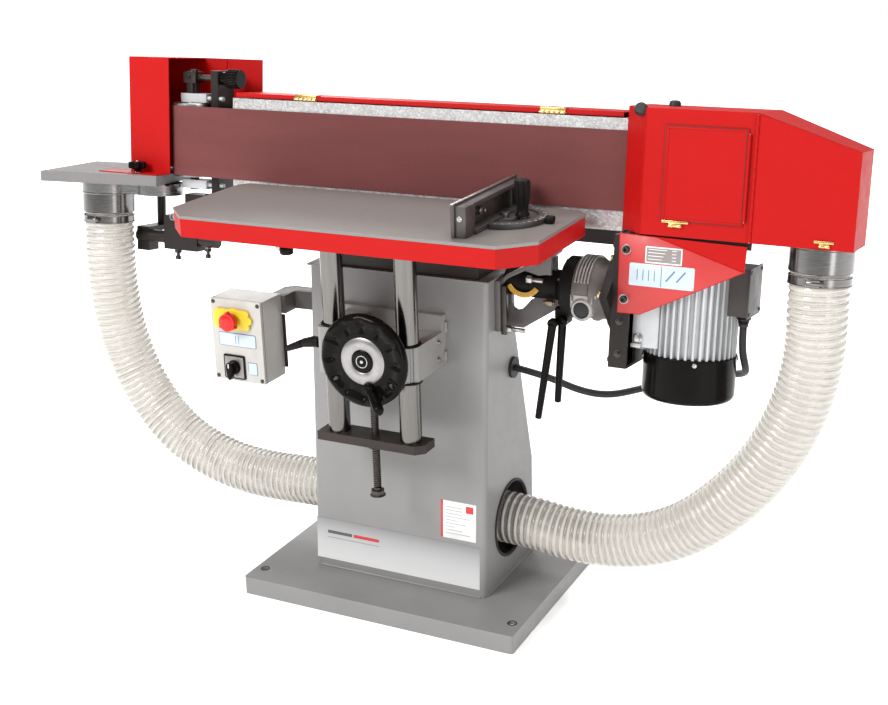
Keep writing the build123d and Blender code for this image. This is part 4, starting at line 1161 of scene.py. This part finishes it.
def mitre_casting():
    """The fence: a thick back with a deep recess between end blocks, and the half-round protractor."""
    low, top = 852.5, 912
    back = block((236, 243), (-312, -36), (low, top), 1.0)
    front_block = block((243, 264), (-308, -268), (low, top - 4), 1.6)
    rear_block = block((243, 262), (-58, -38), (low, top - 4), 1.6)
    top_rib = block((242, 262), (-272, -50), (top - 12, top - 4), 1.4)
    foot = block((242, 268), (-272, -50), (low, low + 9), 1.2)
    web = block((243, 256), (-96, -90), (low + 4, top - 8), 1.0)
    disc = arc_plate(62, 80, 88, (low, low + 9.5))
    floor_plate = arc_plate(41, 64, 89, (low, low + 6))
    hub = arc_plate(7, 29.5, 90, (low, low + 6), 24)
    arms = [prism([(MITRE.x + r * math.cos(a) + s * math.sin(a),
                    MITRE.y + r * math.sin(a) - s * math.cos(a))
                   for r, s in ((26, -6), (44, -6), (44, 6), (26, 6))], "Z", (low, low + 6), 0.6)
            for a in (math.radians(-76), math.radians(76))]
    casting_mesh = combine(back, front_block, rear_block, top_rib, foot, web, disc, floor_plate, hub, *arms)
    fence = piece("mitre_casting", casting_mesh, "mitre", "mitre")
    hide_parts("mitre_head")
    edge = block((235.6, 242.6), (-312.4, -35.8), (top - 0.6, top + 0.4), 0.4)
    piece("mitre_top_edge", edge, "steel", "mitre")
    screw = combine(ring("Y", (252, -308, 886), 5.2, 2.4, (-1.6, 0.4)),
                    rod("Y", (252, -308, 886), 2.2, (-0.6, 0.4), 0.2, 20))
    piece("mitre_end_screw", screw, "steel", "mitre")
    stop = Vector((243, -221.3, 883.4))
    stop_screw = combine(rod("X", stop, 7.5, (0, 12), 1.5, 28), rod("X", stop, 3.4, (11, 20), 0.6, 20))
    piece("mitre_stop_screw", stop_screw, "steel", "mitre")
    ticks = []
    for step in range(-8, 9):
        turn = math.radians(step * 10)
        radial = spoke("Z", 1, turn)
        deep = 9 if step % 3 == 0 else 5
        start = MITRE + radial * 79 + Vector((0, 0, 10.1))
        ticks.append(between(start, start - radial * deep, 0.35, 0.35, 6, 0.1))
    piece("mitre_ticks", ticks, "white", "mitre")


def mitre_grip():
    """The clamp knob: a deeply fluted barrel narrowing to a waist and a flange."""
    at = Vector((303, -150, 862))
    part = bmesh.new()
    sides, flutes = 84, 7
    profile = [(0.1, 68.0), (9.0, 68.0), (13.6, 66.5), (15.2, 62.0), (15.2, 44.0), (14.4, 34.0),
               (11.6, 20.0), (10.0, 12.0), (10.6, 8.0), (13.0, 5.0), (13.4, 0.6), (0.1, 0.6)]
    rings = []
    for radius, z in profile:
        row = []
        for i in range(sides):
            turn = 2 * math.pi * i / sides
            cut = 0.0
            if 18 < z < 67 and radius > 5:
                cut = 3.0 * max(0.0, math.cos(flutes * turn)) ** 1.2
            r = radius - cut
            row.append(part.verts.new((at.x + r * math.cos(turn), at.y + r * math.sin(turn), at.z + z - 0.1)))
        rings.append(row)
    band_faces(part, rings)
    bmesh.ops.recalc_face_normals(part, faces=part.faces)
    knob = piece("mitre_grip", part, "black_matt", "mitre_knob", smooth=50)
    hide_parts("mitre_knob")


def mitre_pointer():
    lock = combine(rod("X", (0, -150, 860), 7, (350.5, 366), 1.6, 28),
                   block((350, 362), (-157, -143), (852, 860), 1.0))
    piece("mitre_pointer", lock, "black_matt", "lift")


mitre_casting()
mitre_grip()
mitre_pointer()


# ---- tilt bearing ----------------------------------------------------------------------------------------
def tilt_bracket_details():
    """Side plate with its centre web, sloping flange, upper gusset and the black trunnion sleeve. The whole
    casting is drawn in a darker copy of the bracket grey: painted shade.
    """
    side = block((202, 214), (-60, 12), (600, 704), 1.5)
    lower = prism([(214, 600), (246, 600), (322, 650), (322, 669), (278, 669), (262, 660), (252, 648),
                   (243, 639), (233, 636), (225, 640), (221, 650), (221, 669), (214, 669)], "Y", (-19, -11),
                  1.2)
    flange = prism([(214, 693), (214, 705), (222, 715), (318, 764), (318, 756), (226, 708), (220, 702)],
                   "Y", (-49, 11), 1.0)
    upper = prism([(214, 690), (214, 702), (226, 708), (318, 755), (318, 720), (250, 716), (234, 700)], "Y",
                  (-19, -11), 0.8)
    gusset = prism([(262, 727), (318, 756), (318, 723), (306, 723), (292, 720)], "Y", (-49, -43), 0.8)
    body = piece("tilt_casting", [side, lower, flange, upper, gusset], "grey_painted_shade", "stand")
    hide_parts("tilt_bracket")
    sleeve = ring("X", PIVOT, 28, 22.1, (213, 325), 72, 1.5)
    piece("trunnion_sleeve", [sleeve, ring("X", PIVOT, 30, 26, (268, 325), 72, 1.5)], "black_matt",
          "stand")


def angle_scale():
    """Smiling yellow scale in front of the sleeve, with its printed ticks."""
    middle = Vector((258, 0, 711))
    smile = sector((middle.x, middle.z), 28.5, 39, 207, 327, 24)
    piece("angle_scale", prism(smile, "Y", (-47.5, -45.5), 0.4), "scale", "stand")
    ticks = []
    for i in range(14):
        a = math.radians(210 + 8.6 * i)
        way = spoke("Y", 1, a)
        start = middle + way * 31 + Vector((0, -47.6, 0))
        ticks.append(between(start, start + way * (5 if i % 2 else 3), 0.4, 0.4, 6, 0.1))
    piece("angle_ticks", ticks, "ink", "stand")


def tilt_details():
    tilt_bracket_details()
    angle_scale()
    strap = combine(block((214.2, 226), (-57, -47), (594, 694), 1.5),
                    rod("X", (0, -52, 605), 7, (205, 214.4), 1.0, 24))
    piece("tilt_strap", strap, "dark_steel", "stand")
    lower = combine(hexagon("X", (226, -52, 606), 13, (0.2, 10)),
                    rod("X", (236, -52, 606), 4.6, (-1, 28), 1.2, 24))
    upper = combine(hexagon("X", (268, -50, 711), 15, (0, 12)),
                    rod("X", (280, -50, 711), 5, (-1, 22), 1.2, 24))
    piece("stop_bolts", [lower, upper], "steel", "stand")
    foot = combine(hexagon("X", (306, -44, 667), 12, (0, 14)),
                   rod("X", (306, -44, 667), 4, (-6, 18), 0.8, 20))
    piece("sleeve_bolt", foot, "brass_dark", "stand")
    collar_bolts = [hex_bolt("X", PIVOT + spoke("X", 50, a, 341.2), 7, -1) for a in turns(6, 30)]
    piece("collar_bolts", collar_bolts, "dark_steel", "stand")


def collar_body():
    """Clamp collar: the disc behind the gearbox and the ear that holds the lever studs."""
    disc = lathe([(12.2, 330), (34, 330), (36, 339), (56, 341), (60, 345), (60, 364), (57, 368),
                  (12.2, 368)], "X", PIVOT, 80)
    ear = block((325.3, 352), (PIVOT.y - 36, PIVOT.y - 6), (PIVOT.z - 68, PIVOT.z - 36), 3.0)
    collar = piece("collar_body", [disc, ear], "black_matt", "stand")
    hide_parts("clamp_collar")


def tilt_levers():
    """Long clamping levers under the collar, each swelling towards its hub."""
    hubs = {"front": (Vector((331, -74, 636)), Vector((300, -74, 436))),
            "rear": (Vector((345, -58, 636)), Vector((335, -58, 470)))}
    for side, (hub, tip) in hubs.items():
        stud = rod("Y", (hub.x, 0, hub.z), 4, (hub.y, -33), 0.5, 24)
        eye = rod("Y", hub, 10, (-6, 6), 2.0, 32)
        lever = piece(f"{side}_lever", [stud, eye, between(hub, tip, 8.4, 6.6, 28, 2.0)], "black",
                      f"{side}_tilt_lever")
        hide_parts(f"{side}_tilt_lever")


def gearbox_details():
    """The housing with its ribs, the flange bolts, and the worm boss with its dark cap."""
    drum = lathe([(20.3, 352.3), (50, 352.3), (50, 368.2), (60, 368.2), (61, 370), (61, 373), (58, 375),
                  (57.5, 400), (61.2, 403), (61.2, 408), (57, 415), (54.5, 427), (53.5, 429.8),
                  (20.3, 429.8)], "X", PIVOT, 80)
    rear = rod("Y", (391, PIVOT.y, PIVOT.z - 34), 26, (10, 62), 1.5, 44)
    ribs = [prism(sector(PIVOT.yz, 57, 65.5, -20, 156, 40), "X", (x, x + 3.2), 1.0)
            for x in (374.0, 380.4, 386.8, 393.2, 399.6)]
    tips = [hexagon("X", PIVOT + spoke("X", 46, a, 430), 7, (-1, 2)) for a in turns(4, 45)]
    body = piece("gearbox_body", [drum, rear, *tips], "cast", "stand")
    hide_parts("gearbox_housing")
    piece("gearbox_ribs", ribs, "cast_light", "stand")
    boss_at = Vector((391, PIVOT.y, PIVOT.z - 26))
    boss = combine(lathe([(16, -65), (19.5, -65), (21.8, -62.5), (22.4, -40), (22.4, -12), (16, -12)], "Y",
                         boss_at, 48),
                   block((366.5, 411.5), (PIVOT.y - 60, PIVOT.y - 20), (PIVOT.z - 24, PIVOT.z + 2), 2.0),
                   block((359, 419), (PIVOT.y - 57, PIVOT.y - 20), (PIVOT.z - 4, PIVOT.z + 4), 2.0))
    piece("worm_boss", boss, "cast_light", "stand")
    cap = lathe([(0, -64.2), (12, -64.2), (15, -63.2), (15.9, -61.0), (15.9, -50), (0, -50)], "Y", boss_at,
                44, closed=False)
    piece("worm_cap", cap, "rubber", "stand")
    bolts = [hex_bolt("X", PIVOT + spoke("X", 62, a, 432.8), 12, -1) for a in turns(4, -math.degrees(LEAN))]
    piece("flange_bolts", bolts, "yellow_zinc", "head", ROW)


tilt_details()
collar_body()
tilt_levers()
gearbox_details()


# ---- head: idler end -------------------------------------------------------------------------------------
def idler_details():
    shaft = Vector((-570, 48, 0))
    caps = combine(ring("Z", shaft, 44.5, 12, (150.5, 155.2), bevel=1.0),
                   ring("Z", shaft, 20, 11, (155, 156.6)))
    piece("idler_cap", caps, "drum", "idler")
    clamp = combine(block((-580, -562), (33, 63), (157, 224), 3.0), hex_bolt("Y", (-571, 33, 212), 6, -1))
    piece("rod_clamp", clamp, "black_steel", "carriage")
    piece("rod_nuts", hexagon("X", (0, 48, 210), 14, (-558, -551)), "dark_steel", "carriage")
    knob = Vector((0, 48, 210))
    rim = []
    for a in turns(20):
        start, end = knob + spoke("X", 19, a, -476), knob + spoke("X", 19, a, -448)
        rim.append(between(start, end, 1.6, 1.6, 8, 0.8))
    piece("tracking_knurl", rim, "black", "tracking_knob")


def table_arm_details():
    eye = Vector((-619, 34, -98))
    ring_bolt = combine(ring("Y", eye, 8.5, 5.4, (-5, 0), bevel=1.2),
                        rod("Y", eye, 4.5, (-1.5, 0.5), 0.3, 20))
    piece("arm_eye_bolt", ring_bolt, "steel", "head")
    under = []
    for x in (-619, -537):
        base = Vector((x, 50, -172 if x < -560 else -162))
        under += [rod("Z", base, 4, (-18, 0), 0.6, 20), hexagon("Z", base, 15, (-9, -2)),
                  hexagon("Z", base, 12, (-24, -16))]
    piece("set_bolts", under, "dark_steel", "head")
    piece("set_bolt_nuts", [hexagon("Z", (x, 50, z), 14, (-4, 0.4))
                                     for x, z in ((-619, -172), (-537, -162))], "steel", "head")
    piece("post_bolt", hex_bolt("X", (-728, 58, -158), 8, -1), "dark_steel", "head")


def star_knob(name, at, body):
    """Five-lobed clamp knob on a stud, with a washer below it."""
    lobes = []
    for k in range(5):
        a = 2 * math.pi * k / 5 + 0.3
        lobes.append(rod("Z", at + spoke("Z", 13, a), 6.6, (9, 24), 2.4, 24))
    core = combine(rod("Z", at, 13, (7, 24), 2.0, 36), rod("Z", at, 7.5, (1, 10), 1.0, 28), *lobes)
    piece(name, core, "black", body)
    piece(f"{name}_stud", [rod("Z", at, 3.6, (-4, 25.5), 0.6, 20),
                                  ring("Z", at, 9.5, 4, (0, 1.4), bevel=0.3)], "steel", body)


idler_details()
table_arm_details()
star_knob("guard_knob", Vector((-668, -28, 2)), "head")


# ---- head: covers ----------------------------------------------------------------------------------------
def butt_hinge(name, x, body):
    """Brass hinge leaf with its knuckles and two screws, on the rear cover's front edge."""
    leaf = block((x - 26, x + 26), (11.5, 30.5), (184.2, 185.4), 0.3)
    knuckles = [rod("X", (0, 9, 176), 3.7, (x - 26 + 10.6 * k, x - 26 + 10.6 * k + 9.8), 0.4, 24)
                for k in range(5)]
    front = block((x - 26, x + 26), (9.6, 10.8), (174, 185.2), 0.3)
    screws = [pan_screw("Z", (x + dx, 22, 185.3), 3.4, 1) for dx in (-15, 15)]
    piece(name, [leaf, front, *knuckles, *screws], "brass", body)


def long_hinge():
    """Knuckles of the hood door's full-height hinge."""
    at = Vector((703, -58, 0))
    for leaf, body in enumerate(("hood_door", "head")):
        knuckles = []
        for k in range(leaf, 12, 2):
            low = -30 + k * 18.4
            knuckles.append(rod("Z", at, 3.1, (low, low + 17.8), 0.4, 20))
        piece(f"hood_hinge_{body}", knuckles, "red", body)


def roller_catch(name, x, z, wide, body):
    """Brass roller catch: a folded leaf with two rollers below it."""
    leaf = block((x, x + wide), (-60.6, -57.4), (z, z + 4.5), 0.8)
    tongue = block((x + wide * 0.25, x + wide * 0.75), (-60.2, -57.6), (z - 7, z), 0.6)
    rollers = [rod("X", (0, -59.6, z - 5), 3.0, (x + wide * f, x + wide * f + 8), 0.8, 20)
               for f in (0.28, 0.58)]
    piece(name, [leaf, tongue, *rollers], "brass", body)


def bumpers():
    buffer_profile = [(0, -9), (5, -9.3), (9.5, -8.2), (12, -5), (12.5, 0), (0, 0)]
    front = lathe(buffer_profile, "Y", (487, -48, 192), 36, closed=False)
    bmesh.ops.rotate(front, cent=Vector((487, -48, 192)), matrix=Matrix.Rotation(math.radians(-25), 3, "X"),
                     verts=front.verts)
    top_profile = [(0, 10.5), (5, 10.8), (9, 9.5), (11, 6), (11.3, 0), (0, 0)]
    top = lathe(top_profile, "Z", (516, 60, 196), 36, closed=False)
    piece("bumpers", [front, top], "rubber", "head")
    piece("bumper_pins", rod("Z", (516, 60, 0), 3, (205, 207.4), 0.5, 20), "steel", "head")


HOOD_FOLD = 499  # X of the crease in the hood shell


def hood_details():
    seam = block((HOOD_FOLD - 0.8, HOOD_FOLD + 0.8), (-56.0, -54.6), (-30, 194), 0.3)
    piece("hood_fold", seam, "red", "head")
    rim = 3.2
    low, high, left, right = 2, 161, 545, 683
    frame_bars = [block((left - rim, right + rim), (-58.3, -57.3), (low - rim - 0.5, low - 0.5), 0.4),
                  block((left - rim, right + rim), (-58.3, -57.3), (high + 0.5, high + rim + 0.5), 0.4),
                  block((left - rim, left), (-58.3, -57.3), (low, high), 0.4)]
    piece("access_door_hem", frame_bars, "red", "access_door")
    # The dark red lines round the access door, and the one at the hood door's hinge edge below, are painted
    # shadow in the gaps between the doors and the hood.
    edge = 1.3
    x, z = (539, 689), (-3, 166)
    shadow_lines = [block((x[0] - edge, x[0]), (-57.7, -55.2), (z[0] - edge, z[1] + edge), 0.1),
            block((x[1] - 4, x[1] - 4 + edge), (-57.9, -55.2), (z[0] - edge, z[1] + edge), 0.1),
            block((x[0], x[1]), (-57.7, -55.2), (z[0] - edge, z[0]), 0.1),
            block((x[0], x[1]), (-57.7, -55.2), (z[1], z[1] + edge), 0.1)]
    piece("access_door_shadow_line", shadow_lines, "seam", "head")
    piece("hood_door_shadow_line", block((704.2, 705.4), (-57.3, -54.8), (-31, 193), 0.1), "seam", "head")
    for side, x, low, shoulder in (("right", 820, -77, 4.5), ("left", -772, -93, 4.0)):
        profile = [(1.2, 0), (2.4, 1), (2.4, 41), (shoulder, 43), (shoulder, 45), (0.3, 45), (0.3, 0)]
        sleeve = lathe([(HOSE_R + out, low + up) for out, up in profile], "Z", (x, 0, 0), 72)
        piece(f"{side}_hose_cuff", sleeve, "cuff", "head")


def belt_cover_details():
    ridge = between((530, -47.8, -36.5), (694, -47.8, -86), 1.0, 1.0, 10, 0.3)
    piece("belt_cover_fold", ridge, "red", "head")
    # A thin lighter red plate over the cover below its fold: painted highlight, standing for light off the
    # bent lower panel.
    lower = [(460, -35), (530, -36.8), (694.5, -86.4), (507, -182), (463, -183)]
    piece("belt_cover_painted_highlight", prism(lower, "Y", (-48.4, -47.95), 0.1), "red_painted_highlight", "head")
    # A black strip in the gap between the hood and the belt cover: painted shadow.
    piece("hood_gap_shadow_strip", block((486, 704), (-41.5, -38), (-47, -32.5), 0.5), "black_steel", "head")
    bolts = [cap_screw("Y", (474, -48, z), 6.5, -1) for z in (-64, -157)]
    piece("belt_cover_bolts", bolts, "dark_steel", "head")
    rings = [ring("Y", (474, -48, z), 9.5, 6.8, (-1.4, 0), bevel=0.3) for z in (-64, -157)]
    piece("belt_cover_washers", rings, "steel", "head")
    spec = prism(rounded_plate((511, 581), (-85, -54), 1.5), "Y", (-48.9, -47.9), 0.2)
    piece("spec_plate", spec, "white", "head")
    face = prism(rounded_plate((513.5, 578.5), (-82.5, -56.5), 1), "Y", (-49.3, -48.8), 0)
    piece("spec_plate_face", face, "ink_grey", "head")
    lines = []
    for row in range(4):
        z = -78 + row * 6
        for x in ((517, 543 + row * 3), (562, 570)):
            lines.append(prism(bar(x, (z, z + 1.3)), "Y", (-49.7, -49.2), 0))
    piece("spec_plate_lines", lines, "white", "head")
    strip = prism(rounded_plate((482, 606), (-129, -87), 3), "Y", (-48.8, -47.9), 0.2)
    piece("symbol_strip", strip, "pale_blue", "head")
    marks = [prism(bar((543, 544.2), (-127, -89)), "Y", (-49.2, -48.7), 0)]
    marks += [prism(bar((x, x + 1.3), (-118, -98)), "Y", (-49.2, -48.7), 0) for x in (497, 508, 519, 530)]
    for x in (552, 572):
        marks.append(prism([(x, -115), (x + 2, -117), (x + 18, -97), (x + 16, -95)], "Y", (-49.2, -48.7), 0))
    piece("symbol_strip_marks", marks, "blue", "head")


MOTOR_AXIS = Vector((580, 48, 0))


def motor_details():
    piece("foot_bolts", [hex_bolt("Y", (498, -24, z), 12, -1) for z in (-232, -122)], "steel", "head")
    screws = []
    for a in turns(4, -68):
        at = MOTOR_AXIS + spoke("Z", 87.6, a, -270)
        screws.append(between(at, at + spoke("Z", 3.4, a), 5.0, 4.2, 18, 0.8))
    piece("fan_cover_screws", screws, "steel", "head")
    piece("fan_cover_rim", ring("Z", MOTOR_AXIS, 89.0, 84, (-266, -262), bevel=0.8), "fan_black", "head")
    shield = ring("Z", MOTOR_AXIS, 88.6, 60, (-74, -60), bevel=2.0)
    piece("motor_end_shield", shield, "dark_steel", "head")
    lid = combine(block((691.6, 695), (5, 97), (-181, -87), 1.2),
                  *[pan_screw("X", (695, y, z), 4, 1) for y in (13, 89) for z in (-173, -95)])
    piece("terminal_lid", lid, "box_brown", "head")
    gland = combine(hexagon("Z", (678, 48, 0), 24, (-188, -178)),
                    between((678, 48, -188), (678, 48, -201.5), 11.0, 8.4, 30, 1.5))
    piece("gland_nut", gland, "black_matt", "head")
    pad = combine(block((486, 538), (-24, 24), (-250, -102), 2.5),
                  block((486, 506), (-30, -20), (-250, -242), 1.0))
    piece("motor_foot_pad", pad, "alloy", "head")


def mount_plate_details():
    bolts = [hex_bolt("Y", (467, -46, z), 10, -1) for z in (-200, -262)]
    heads = [cap_screw("X", (449, y, z), 5.5, -1) for y in (-30, 78) for z in (-60, -278)]
    piece("mount_plate_bolts", [*bolts, *heads], "dark_steel", "head")


for number, place in enumerate((-260, 292)):
    butt_hinge(f"cover_hinge_{number}", place, "rear_cover")
long_hinge()
roller_catch("access_catch", 541, -7, 50, "access_door")
roller_catch("hood_catch", 816, -21, 34, "hood_door")
bumpers()
hood_details()
belt_cover_details()
motor_details()
mount_plate_details()
